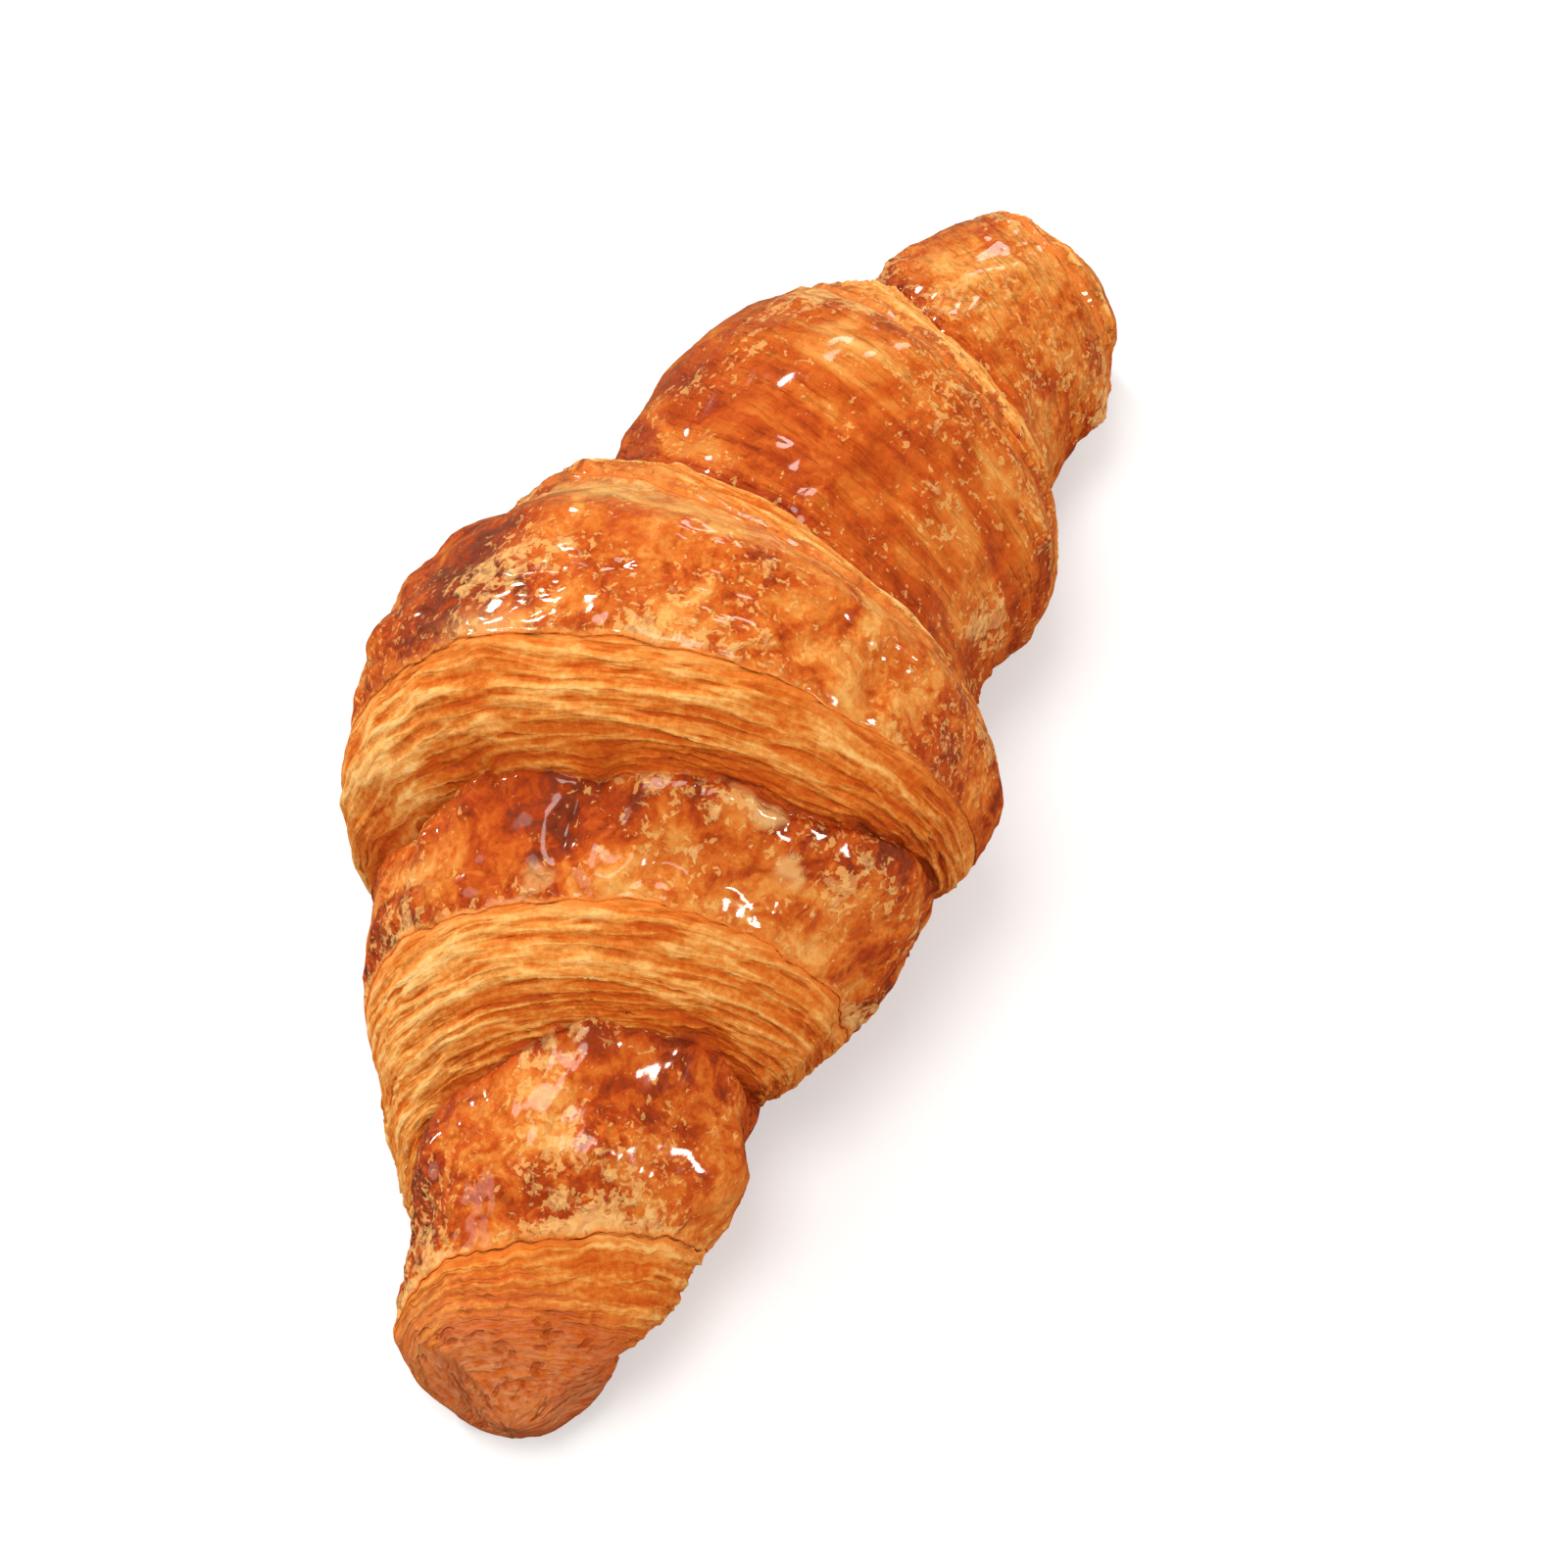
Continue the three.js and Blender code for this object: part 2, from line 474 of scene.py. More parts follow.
MARKS = (
    Mark("blister by the first rim", -17.0, 59.0, 3.2, 5.4, 1.1, pale=0.75),
    Mark("loose flake on the far rim", 11.8, 46.0, 1.0, 2.3, 0.7, flat=True),
    Mark("dimple under the first band", -24.5, 84.0, 2.6, 2.4, -2.2),
    Mark("fold below the dimple", -30.0, 80.0, 5.0, 1.5, -1.7),
    Mark("lobe outside the fold", -28.5, 68.0, 3.4, 3.2, 0.9),
    Mark("lobe inside the fold", -28.0, 94.0, 3.6, 3.6, 0.7),
    Mark("second dimple", -31.0, 104.0, 2.2, 3.0, -1.0),
    Mark("oval flake", -22.8, 121.0, 2.0, 3.4, 0.35, pale=0.9, flat=True),
    Mark("small flake", -27.0, 131.0, 1.3, 2.2, 0.3, pale=0.8, flat=True),
    Mark("torn patch", -36.0, 76.0, 1.5, 1.8, -0.4, pale=0.5, flat=True),
    Mark("swelling of the outer shoulder", -13.0, 36.0, 6.0, 9.0, 0.9),
    Mark("flat of the outer shoulder", 2.0, 36.0, 9.0, 10.0, -1.8),
    Mark("fullness of the first ring", -30.0, 4.0, 7.0, 12.0, 2.4),
    Mark("flat of the first rim", -19.5, 16.0, 4.0, 8.0, -1.0),
    Mark("fullness by the far rim", 13.0, 50.0, 2.5, 4.0, 0.3),
    Mark("flat of the inner tip", -80.5, 186.0, 5.0, 8.0, -3.4),
    Mark("fullness of the inner ring", -54.5, 163.0, 7.0, 9.0, 3.6),
    Mark("flat of the inner second ring", -33.0, 186.0, 4.5, 9.0, -2.4),
    Mark("hollow below the second band", -59.0, 4.0, 7.0, 10.0, -2.2),
    Mark("hollow of the third ring", -67.0, 26.0, 4.0, 8.0, -1.4),
    Mark("hollow by the far rim", 10.0, 32.0, 3.0, 5.0, -0.8),
    Mark("fullness of the outer belly", -6.0, 21.0, 5.0, 7.0, 1.2),
    Mark("dent in the crown", 2.0, 74.0, 5.0, 6.0, -0.5),
    Mark("fold of the inner side", -6.0, 128.0, 6.0, 2.4, -1.0),
    Mark("swelling of the inner side", 2.0, 140.0, 6.0, 5.0, 1.0),
    Mark("long fold of the far ring", 27.0, 96.0, 2.0, 13.0, -1.0),
    Mark("short fold of the far ring", 37.0, 66.0, 1.8, 9.0, -0.8),
    Mark("dent in the far ring", 24.0, 58.0, 4.0, 4.0, -1.0),
    Mark("fold by the third rim", -58.0, 96.0, 3.6, 1.8, -0.9),
    Mark("lobe by the third rim", -60.0, 112.0, 3.4, 3.0, 0.8),
    Mark("crumpled corner", -62.0, 40.0, 3.0, 2.4, 1.0),
    Mark("notch of the near tip", -83.0, -4.0, 3.6, 6.0, -2.2),
    Mark("plum of the outer shoulder", -9.0, 52.0, 8.0, 9.0, 0.0, baked=0.32),
    Mark("gold of the outer belly", 7.0, 46.0, 4.0, 12.0, 0.0, pale=0.3, baked=-0.24),
    Mark("gold of the outer side", -10.0, 20.0, 7.0, 7.0, 0.0, baked=-0.24),
    Mark("gold of the inner belly", -6.0, 134.0, 9.0, 12.0, 0.0, baked=-0.16),
    Mark("gold by the far rim", 6.0, 80.0, 4.0, 18.0, 0.0, pale=0.2, baked=-0.2),
    Mark("gold of the crown", -6.0, 94.0, 7.0, 10.0, 0.0, baked=-0.08),
    Mark("brown stripe of the far ring", 29.0, 96.0, 5.0, 20.0, 0.0, baked=0.16),
    Mark("gold of the far ring", 40.0, 78.0, 6.0, 14.0, 0.0, baked=-0.22),
    Mark("gold of the far tip", 68.0, 90.0, 9.0, 14.0, 0.0, baked=-0.14),
    # Painted shade under the overhang of the first band.
    Mark("brown under the first band", -29.0, 68.0, 6.0, 15.0, 0.0, baked=0.36),
    Mark("gold of the outer second ring", -36.0, 34.0, 5.0, 9.0, 0.0, baked=-0.2),
    Mark("plum of the third ring", -53.0, 110.0, 4.0, 6.0, 0.0, baked=0.04),
    Mark("gold of the third ring", -58.0, 80.0, 6.0, 10.0, 0.0, baked=-0.2),
    Mark("chip of the near tip", -83.6, 22.0, 4.2, 7.0, -2.2, flat=True),
    Mark("flap of the near tip", -77.2, 8.0, 2.2, 4.0, 1.1),
)


# The mesh that follows the spiral

# The belly is the strip before the first rim. Each other strip is numbered by the turn that it begins at.
BELLY_STRIP = -1
STRIPS = (BELLY_STRIP, 0, 1, 2)
# How far apart the sheets of the two halves lie, each side of zero, so that their noises differ.
SHEET_APART = 37.0


@dataclass
class CrustMesh:
    """The skin as one closed mesh, whose rows follow the spiral.

    Each half is the belly and three more strips, one for each turn of the dough. A strip runs once round the
    roll, and its last column joins the first column of the next strip. Its rows go from the rim on its inner
    side to the lip of the next rim.

    Attributes:
        shape: The form it follows.
        marks: The dents, folds and flakes in it.
        spine_middle: Where the middle of the belly's spine comes to stand on the floor, in metres.
        columns: Columns round the roll.
        rows: Rows across a strip.
        band_rows: How many of those rows lie on the bare band.
        top_crowding: How much closer together the columns are over the top.
        focus_turn: The turn from which the rows crowd on the band.
        row_crowding: How much closer together the other rows are by the rims.
        widest_band: The widest that a band may be, as a share of its strip.
    """

    shape: RollShape = field(default_factory=RollShape)
    marks: tuple[Mark, ...] = MARKS
    spine_middle: Vector = field(default_factory=Vector)
    columns: int = 176
    rows: int = 66
    band_rows: int = 38
    top_crowding: float = 0.35
    focus_turn: float = 0.35
    row_crowding: float = 0.45
    widest_band: float = 0.8

    def turns(self) -> np.ndarray:
        """Share of a turn of each column, closer together over the top than underneath.

        Returns:
            The turn of each column, from 0 to just under 1.
        """
        even = np.arange(self.columns) / self.columns
        top = TURNS_AT_TOP[1]
        wave = np.sin(WHOLE_TURN * (even - top)) + math.sin(WHOLE_TURN * top)
        return even - self.top_crowding * wave / WHOLE_TURN

    def across(self, half: Half, strip: int, turn: np.ndarray) -> tuple[np.ndarray, np.ndarray, np.ndarray]:
        """Distances of a strip's rows from its inner rim.

        Args:
            half: The half that it is in.
            strip: Which strip.
            turn: Share of a turn of each column.

        Returns:
            The distances with rows first, the distance of the inner rim, and the width of the strip.
        """
        last_row = self.rows - 1
        outer = np.where(strip == STRIPS[-1], half.length, half.rim(turn + strip + 1))
        inner = np.zeros_like(turn) if strip == BELLY_STRIP else half.rim(turn + strip)
        width = outer - inner
        row = np.minimum(np.arange(self.rows + 1), last_row)[:, None]
        even = row / last_row * width
        if strip == BELLY_STRIP:
            return even, inner, width
        band = np.minimum(half.band(turn + strip), self.widest_band * width)
        ring_share = np.clip((row - self.band_rows) / (last_row - self.band_rows), 0.0, 1.0)
        ring_share = ring_share - self.row_crowding * np.sin(WHOLE_TURN * ring_share) / WHOLE_TURN
        on_band = np.minimum(row / self.band_rows, 1.0) * band
        focused = on_band + ring_share * (width - band)
        focus = smoothstep(0.0, self.focus_turn, turn + strip)
        return even + (focused - even) * focus, inner, width

    def strip(self, half: Half, strip: int) -> dict[str, np.ndarray]:
        """Places one strip and measures what its finish needs.

        Args:
            half: The half that it is in.
            strip: Which strip.

        Returns:
            The points and the value of each attribute, with rows first and columns second.
        """
        shape = self.shape
        turn = self.turns()
        from_rim, inner, width = self.across(half, strip, turn)
        distance = inner + from_rim
        to_rim = width - from_rim
        total = np.broadcast_to(turn + strip, distance.shape)
        angle = np.broadcast_to(shape.point_angle - WHOLE_TURN * turn, distance.shape)
        along = half.side.value * distance
        own_rim = smoothstep(*RIM_SETS_IN, total)
        next_rim = smoothstep(*RIM_SETS_IN, total + 1) * (strip != STRIPS[-1])
        # The rows beside a lip are calm, so that no relief pushes them through each other.
        bare, lean, hollow, calm = (np.zeros_like(distance) for _ in range(4))
        if strip == BELLY_STRIP:
            rise = shape.swell(shape.near, total + 1, -along) + shape.swell(shape.far, total + 1, along)
        else:
            rise, lean, hollow = self.band_form(half, strip, total, from_rim, distance)
            bare = smoothstep(1.02, 0.98, from_rim / half.band(total)) * smoothstep(*BAND_SETS_IN, total)
            if strip == STRIPS[-1] and half.bare_tip:
                bare = np.ones_like(distance)
            own_lip = shape.lip * own_rim * smoothstep(*LIP_SETTLES, total)
            rise = rise - own_lip * np.exp(-from_rim / shape.lip_reach)
            calm[:2] = 1.0
        if strip != STRIPS[-1]:
            next_lip = shape.lip * next_rim * smoothstep(*LIP_SETTLES, total + 1)
            rise[-1] -= next_lip[-1]
            lean[-1] += half.side.value * shape.lip_lean * next_lip[-1]
            calm[-3:] = 1.0
        pale, baked = np.zeros_like(distance), np.zeros_like(distance)
        for mark in self.marks:
            share = mark.share(along, angle, shape.mean_radius(along))
            rise = rise + mark.height * share
            pale = np.maximum(pale, mark.pale * share)
            baked = baked + mark.baked * share
            # A dent adds painted shade to the crease value, the deeper the more.
            hollow = hollow + shape.dent_browning * max(-mark.height, 0.0) * share
        before, beyond = np.exp(-to_rim / shape.brink_reach), np.exp(-from_rim / shape.shade_reach)
        run = self.run(half)(total)
        untorn = np.zeros_like(turn) if strip == BELLY_STRIP else half.smooth_rim(turn + strip)
        depth = distance - untorn
        if strip == STRIPS[-1]:
            nested = from_rim / width * (half.length - half.rims[-1])
            depth = depth + (nested - depth) * smoothstep(0.0, 0.35, turn)
        points, outward = shape.place(along, angle, rise, lean)
        return {
            "points": points,
            "out": outward,
            "sheet": np.stack([run, depth, np.full_like(run, SHEET_APART * half.side.value)], -1),
            "bare": bare,
            "edge": np.exp(-to_rim / shape.flaky_reach) * next_rim,
            "hollow": hollow,
            "pale": pale,
            "baked": baked,
            "calm": np.maximum(calm, smoothstep(0.6, 0.3, shape.cap_scale(half, distance))),
            "along": along,
            "brink": np.maximum(before * next_rim, beyond * own_rim),
        }

    def band_form(
        self, half: Half, strip: int, total: np.ndarray, from_rim: np.ndarray, distance: np.ndarray
    ) -> tuple[np.ndarray, np.ndarray, np.ndarray]:
        """Shapes the bare band outside a rim, the crease at its foot and the swelling up to the next rim.

        Args:
            half: The half that it is in.
            strip: Which strip, not the belly.
            total: The turn at each point.
            from_rim: Distance from the rim.
            distance: Distance from the middle of the belly.

        Returns:
            How far each point stands off the mean radius, how far it is pushed along the spine, and how deep
            it lies in the crease.
        """
        shape = self.shape
        step = half.step(total)
        band = half.band(total)
        share = from_rim / band
        on_band = np.clip(share, 0, 1)
        fade = np.clip((half.length - distance) / shape.overhang_fade, 0.0, 1.0)
        band_rise = step * (shape.rim_crest - shape.band_drop * on_band**shape.band_curve)
        crease = (shape.rim_crest - shape.band_drop) * step
        crease = crease * np.exp(-np.maximum(from_rim - band, 0) / shape.crease_reach)
        ahead = shape.swell(half, total + 1, distance) * np.clip(2 * (share - 1), 0, 1)
        ahead = ahead * (strip != STRIPS[-1])
        crack = np.exp(-(((from_rim - band) / shape.crack_width) ** 2)) * half.crack(total) * fade
        rise = np.where(share <= 1.0, band_rise, crease + ahead) - crack
        leaning = shape.overhang * np.sin(np.pi * on_band) * np.minimum(1, step / shape.full_step)
        # How deep the point lies in the crease at the band's foot, which the finish darkens as painted
        # shade.
        hollow = np.exp(-np.abs(from_rim - band) / shape.hollow_reach)
        hollow = hollow * np.minimum(1, half.crack(total) + step / shape.brown_step) * fade
        return rise, half.side.value * leaning * fade, hollow

    def run(self, half: Half) -> MonotoneCurve:
        """Measures along a rim.

        Args:
            half: The half that it is in.

        Returns:
            Length along the rim from the point of the dough, as a curve over the turns.
        """
        # Eight knots in each of the four turns.
        knots = np.linspace(-1.0, LAST_TURN, 8 * 4 + 1)
        middle = (knots[1:] + knots[:-1]) / 2
        radius = self.shape.mean_radius(half.side.value * half.rim(np.maximum(middle, 0.0)))
        steps = WHOLE_TURN * radius * np.diff(knots)
        lengths = np.concatenate([[0.0], np.cumsum(steps)])
        return MonotoneCurve(tuple(knots), tuple(lengths))

    def build(self, name: str) -> bpy.types.Object:
        """Makes the mesh object, with its attributes.

        Args:
            name: The object's name.

        Returns:
            The object, linked to the scene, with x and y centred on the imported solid.
        """
        values: dict[str, list[np.ndarray]] = {}
        points: list[np.ndarray] = []
        numbers: dict[Side, dict[int, np.ndarray]] = {Side.NEAR: {}, Side.FAR: {}}
        count = 0
        for half in (self.shape.near, self.shape.far):
            for strip in STRIPS:
                made = self.strip(half, strip)
                grid = made.pop("points")
                size = grid.shape[0] * grid.shape[1]
                numbers[half.side][strip] = np.arange(count, count + size).reshape(grid.shape[:2])
                points.append(grid.reshape(-1, 3))
                for key, value in made.items():
                    values.setdefault(key, []).append(value.reshape(size, -1))
                count += size
        middle = numbers[Side.NEAR][BELLY_STRIP][0]
        faces = [quads for side in Side for quads in self.faces(side, numbers[side], middle)]
        return self.object_from(name, np.concatenate(points), np.concatenate(faces), values)

    def faces(self, side: Side, numbers: dict[int, np.ndarray], middle: np.ndarray) -> list[np.ndarray]:
        """Joins the strips of one half, first giving one number to points that coincide.

        Args:
            side: Which half.
            numbers: The point numbers of each strip, with rows first.
            middle: Those round the middle of the belly. The first is the point of the dough.

        Returns:
            Sheets of faces that face out, with four point numbers for each face.
        """
        last = STRIPS[-1]
        pole = numbers[last][-1, 0]
        numbers[BELLY_STRIP][:, 0] = middle[0]
        numbers[0][0, 0] = middle[0]
        numbers[BELLY_STRIP][0, :] = middle
        numbers[last][-2:, :] = pole
        ends = [numbers[strip + 1][:, :1] for strip in STRIPS[:-1]] + [np.full((self.rows + 1, 1), pole)]
        closed = {strip: np.hstack([numbers[strip], end]) for strip, end in zip(STRIPS, ends)}
        faces = []
        for strip, skin in closed.items():
            lip = [] if strip == last else [np.stack([skin[-1], closed[strip + 1][0]])]
            for sheet in [skin, *lip]:
                quads = np.stack([sheet[:-1, :-1], sheet[:-1, 1:], sheet[1:, 1:], sheet[1:, :-1]], -1)
                quads = quads.reshape(-1, 4)
                faces.append(quads[:, ::-1] if side is Side.FAR else quads)
        return faces

    def object_from(
        self, name: str, points: np.ndarray, quads: np.ndarray, values: Mapping[str, list[np.ndarray]]
    ) -> bpy.types.Object:
        """Makes an object of numbered quads, some of whose corners coincide.

        Args:
            name: The object's name.
            points: All points, in millimetres.
            quads: Four point numbers for each face.
            values: The attributes, in the order of the points.

        Returns:
            The object, without loose points and collapsed faces.
        """
        loops = [list(dict.fromkeys(quad)) for quad in quads.tolist()]
        loops = [loop for loop in loops if len(loop) >= 3]
        used = np.unique(np.concatenate([np.array(loop) for loop in loops]))
        renumber = np.zeros(len(points), int)
        renumber[used] = np.arange(len(used))
        kept = points[used] * MM
        low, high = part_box(NODE)
        middle = (kept.min(0) + kept.max(0)) / 2
        self.spine_middle = Vector(((low.x + high.x) / 2 - middle[0], (low.y + high.y) / 2 - middle[1], 0.0))
        kept += np.array(self.spine_middle)
        mesh = bpy.data.meshes.new(name)
        mesh.from_pydata(kept.tolist(), [], [renumber[loop].tolist() for loop in loops])
        values = {**values, "rest": [points]}
        for key, parts in values.items():
            kept_values = np.concatenate(parts)[used].astype(np.float32)
            whole = kept_values.shape[1] == 1
            attribute = mesh.attributes.new(key, "FLOAT" if whole else "FLOAT_VECTOR", "POINT")
            attribute.data.foreach_set("value" if whole else "vector", kept_values.ravel())
        mesh.shade_smooth()
        mesh.update()
        return linked(name, mesh)


# Node trees


def paint(red: int, green: int, blue: int) -> Colour:
    """Turns a colour from a colour chart into the light it stands for.

    Args:
        red: Red, 0 to 255.
        green: Green, 0 to 255.
        blue: Blue, 0 to 255.

    Returns:
        Linear red, green, blue and a full alpha.
    """

    def linear(channel: int) -> float:
        """Linear light of one channel."""
        share = channel / 255.0
        return share / 12.92 if share <= 0.04045 else ((share + 0.055) / 1.055) ** 2.4

    return linear(red), linear(green), linear(blue), 1.0


class Shade(Enum):
    """The browns of baking, from raw flake to scorched crust."""

    CREAM = paint(248, 206, 144)
    STRAW = paint(246, 186, 108)
    HONEY = paint(240, 180, 100)
    GOLD = paint(230, 148, 68)
    AMBER = paint(214, 112, 36)
    COPPER = paint(198, 84, 20)
    RUST = paint(168, 58, 12)
    EMBER = paint(188, 80, 30)
    UMBER = paint(142, 58, 20)
    PLUM = paint(130, 50, 24)
    CRUMB = paint(226, 150, 98)
    BRINK = paint(244, 132, 50)
    TRAY = paint(176, 98, 42)


class Field:
    """One output in a node tree: a number, a vector or a colour that varies from place to place."""

    def __init__(self, wires: Wires, socket: bpy.types.NodeSocket) -> None:
        """Holds an output.

        Args:
            wires: The tree that it is in.
            socket: The output.
        """
        self.wires = wires
        self.socket = socket

    def __add__(self, other: Value) -> Field:
        """The sum with another number."""
        return self.wires.math("ADD", self, other)

    def __sub__(self, other: Value) -> Field:
        """This number less another."""
        return self.wires.math("SUBTRACT", self, other)

    def __rsub__(self, other: Value) -> Field:
        """Another number less this one."""
        return self.wires.math("SUBTRACT", other, self)

    def __mul__(self, other: Value) -> Field:
        """The product with another number."""
        return self.wires.math("MULTIPLY", self, other)

    def __truediv__(self, other: Value) -> Field:
        """This number divided by another."""
        return self.wires.math("DIVIDE", self, other)

    def __abs__(self) -> Field:
        """This number without its sign."""
        return self.wires.math("ABSOLUTE", self)

    __radd__ = __add__
    __rmul__ = __mul__

    def span(self, low: Value, high: Value, to_low: Value = 0.0, to_high: Value = 1.0) -> Field:
        """Maps a range of this number to another, eases the way between and holds the ends.

        Args:
            low: Start of its range.
            high: End of its range, which may be below the start.
            to_low: What the start becomes.
            to_high: What the end becomes.

        Returns:
            The mapped number.
        """
        made = self.wires.node("ShaderNodeMapRange", interpolation_type="SMOOTHSTEP", clamp=True)
        names = ("Value", "From Min", "From Max", "To Min", "To Max")
        return self.wires.fed(made, dict(zip(names, (self, low, high, to_low, to_high))), "Result")

    def noise(
        self,
        size: Union[float, tuple[float, float, float]],
        detail: float = 2.0,
        rough: float = 0.5,
        bent: float = 0.0,
    ) -> Field:
        """A soft noise around zero, from about -1 to 1, read at this place.

        Args:
            size: Size of its lumps in the units of the place, the same all ways or one for each axis.
            detail: How many finer noises are added.
            rough: How strong those are.
            bent: How much it is swirled.

        Returns:
            The noise.
        """
        place = self
        if isinstance(size, tuple):
            place, size = self.wires.vector("DIVIDE", self, size), 1.0
        made = self.wires.node("ShaderNodeTexNoise")
        names = ("Vector", "Scale", "Detail", "Roughness", "Distortion")
        raw = self.wires.fed(made, dict(zip(names, (place, 1.0 / size, detail, rough, bent))))
        return self.wires.math("MULTIPLY_ADD", raw, 4.0, -2.0)

    def split(self) -> list[Field]:
        """x, y and z of this vector.

        Returns:
            The three numbers.
        """
        made = self.wires.node("ShaderNodeSeparateXYZ")
        self.wires.feed(made, {0: self})
        return list(self.wires.outputs(made).values())


class Wires:
    """Adds nodes to one tree and joins them."""

    columns = 40
    node_width = 200.0
    node_height = 260.0

    def __init__(self, tree: bpy.types.NodeTree) -> None:
        """Starts on a tree.

        Args:
            tree: A geometry tree, a material's tree or a group's tree.
        """
        self.tree = tree
        self.count = 0

    def node(self, kind: str, **settings: Any) -> bpy.types.Node:
        """Adds a node and sets it up.

        Args:
            kind: Its type.
            settings: Its settings, by name.

        Returns:
            The node.
        """
        made = self.tree.nodes.new(kind)
        row, column = divmod(self.count, self.columns)
        made.location = (self.node_width * column, -self.node_height * row)
        self.count += 1
        for name, setting in settings.items():
            setattr(made, name, setting)
        return made

    def feed(self, node: bpy.types.Node, values: Mapping[Union[int, str], Value]) -> None:
        """Joins values to a node's inputs, or sets them there.

        Args:
            node: The node.
            values: The value of each input, by its name or number.
        """
        for key, value in values.items():
            if isinstance(value, Field):
                self.tree.links.new(value.socket, node.inputs[key])
            else:
                node.inputs[key].default_value = value.value if isinstance(value, Shade) else value

    def fed(
        self, node: bpy.types.Node, values: Mapping[Union[int, str], Value], output: Union[int, str] = 0
    ) -> Field:
        """Feeds a node, and gives one of its outputs by name or number."""
        self.feed(node, values)
        return Field(self, node.outputs[output])

    def outputs(self, node: bpy.types.Node) -> dict[str, Field]:
        """All outputs of a node, by name."""
        return {output.name: Field(self, output) for output in node.outputs}

    def read(self, name: str, vector: bool = False) -> Field:
        """Reads a named value of the mesh.

        Args:
            name: The attribute's name.
            vector: Whether it is a vector.

        Returns:
            The value.
        """
        if self.tree.bl_idname == "GeometryNodeTree":
            kind = "FLOAT_VECTOR" if vector else "FLOAT"
            return self.fed(self.node("GeometryNodeInputNamedAttribute", data_type=kind), {"Name": name})
        made = self.node("ShaderNodeAttribute", attribute_name=name)
        return Field(self, made.outputs["Vector" if vector else "Fac"])

    def math(self, operation: str, *values: Value) -> Field:
        """One step of arithmetic."""
        return self.fed(self.node("ShaderNodeMath", operation=operation), dict(enumerate(values)))

    def vector(self, operation: str, a: Value, b: Value) -> Field:
        """One step of arithmetic with two vectors, or with a vector and the number that scales it."""
        second = "Scale" if operation == "SCALE" else 1
        return self.fed(self.node("ShaderNodeVectorMath", operation=operation), {0: a, second: b})

    def join(self, x: Value, y: Value, z: Value) -> Field:
        """A vector of x, y and z."""
        return self.fed(self.node("ShaderNodeCombineXYZ"), {0: x, 1: y, 2: z})

    def blend(self, share: Value, a: Value, b: Value) -> Field:
        """A number between a and b."""
        return self.fed(self.node("ShaderNodeMix", data_type="FLOAT"), {0: share, 2: a, 3: b})

    def tint(self, share: Value, a: Value, b: Value) -> Field:
        """A colour between a and b."""
        return self.fed(self.node("ShaderNodeMix", data_type="RGBA"), {0: share, 6: a, 7: b}, 2)

    def ramp(self, value: Value, stops: Mapping[float, Shade]) -> Field:
        """A colour that goes through stops.

        Args:
            value: Where on the ramp, 0 to 1.
            stops: The shade at each place, from the lowest place up.

        Returns:
            The colour.
        """
        made = self.node("ShaderNodeValToRGB")
        elements = made.color_ramp.elements
        while len(elements) < len(stops):
            elements.new(0.5)
        for element, (at, shade) in zip(elements, stops.items()):
            element.position = at
            element.color = shade.value
        return self.fed(made, {0: value})


# What relief and colour share

# Where the near tip's bare end sets in along the spine, in millimetres.
NEAR_TIP = (-70.0, -80.0)
# Where the stretched skin beyond the far rim sets in along the spine, in millimetres.
FAR_RING = (10.0, 16.0)
# Size of a noise across the sheet's third axis, so that the two halves of the roll differ.
HALVES_APART = 9.0


@dataclass(frozen=True)
class Lamination:
    """The stack of thin dough layers that shows on the bare bands, in millimetres.

    Attributes:
        pitch: Mean distance from layer to layer.
        runs: Length along the rim over which the coarse and the fine layers change.
        gaps: Their distance apart.
        weights: How high they stand, as a share of the relief.
        line: How close to a zero of their noise a line ends.
        sway: How far the layers sway across the band.
        sway_run: Length of a sway along the rim.
        slit: Length and width of the slits between layers.
        slit_depth: How deep those are, as a share of the relief.
    """

    pitch: float = 1.1
    runs: tuple[float, float] = (26.0, 12.0)
    gaps: tuple[float, float] = (2.1, 0.95)
    weights: tuple[float, float] = (0.5, 0.4)
    line: float = 0.34
    sway: float = 0.7
    sway_run: float = 19.0
    slit: tuple[float, float] = (7.0, 0.6)
    slit_depth: float = 0.48

    def lines(self, sheet: Field) -> tuple[Field, Field]:
        """Draws the layers.

        Args:
            sheet: Distance along the rim and away from it.

        Returns:
            The ridge of each layer, 0 in a groove and 1 on a crest, and the layer's own tone, 0 to 1.
        """
        wires = sheet.wires
        slow = sheet.noise((self.sway_run, 7.0, HALVES_APART), 2.0, 0.45)
        along, across, side = sheet.split()
        swayed = across + slow * (self.sway / 2)
        bent = wires.join(along, swayed, side)
        height = (swayed + slow * (self.sway / 3)) / self.pitch
        share = wires.math("FRACT", height)
        ridge = None
        for run, gap, weight in zip(self.runs, self.gaps, self.weights):
            crest = abs(bent.noise((run, gap, 5.0), 1.0)).span(self.line, 0.0) * weight
            ridge = crest if ridge is None else ridge + crest
        ridge = ridge + share.span(0.0, 0.55) * share.span(1.0, 0.75) * 0.25
        ridge = ridge - bent.noise((*self.slit, 5.0), 1.0).span(0.4, 0.8) * self.slit_depth
        cell = wires.node("ShaderNodeTexWhiteNoise", noise_dimensions="2D")
        tone = wires.fed(cell, {"Vector": wires.join(wires.math("FLOOR", height), side, 0.0)}, "Value")
        return wires.math("MINIMUM", ridge + 0.1, 1.0), tone


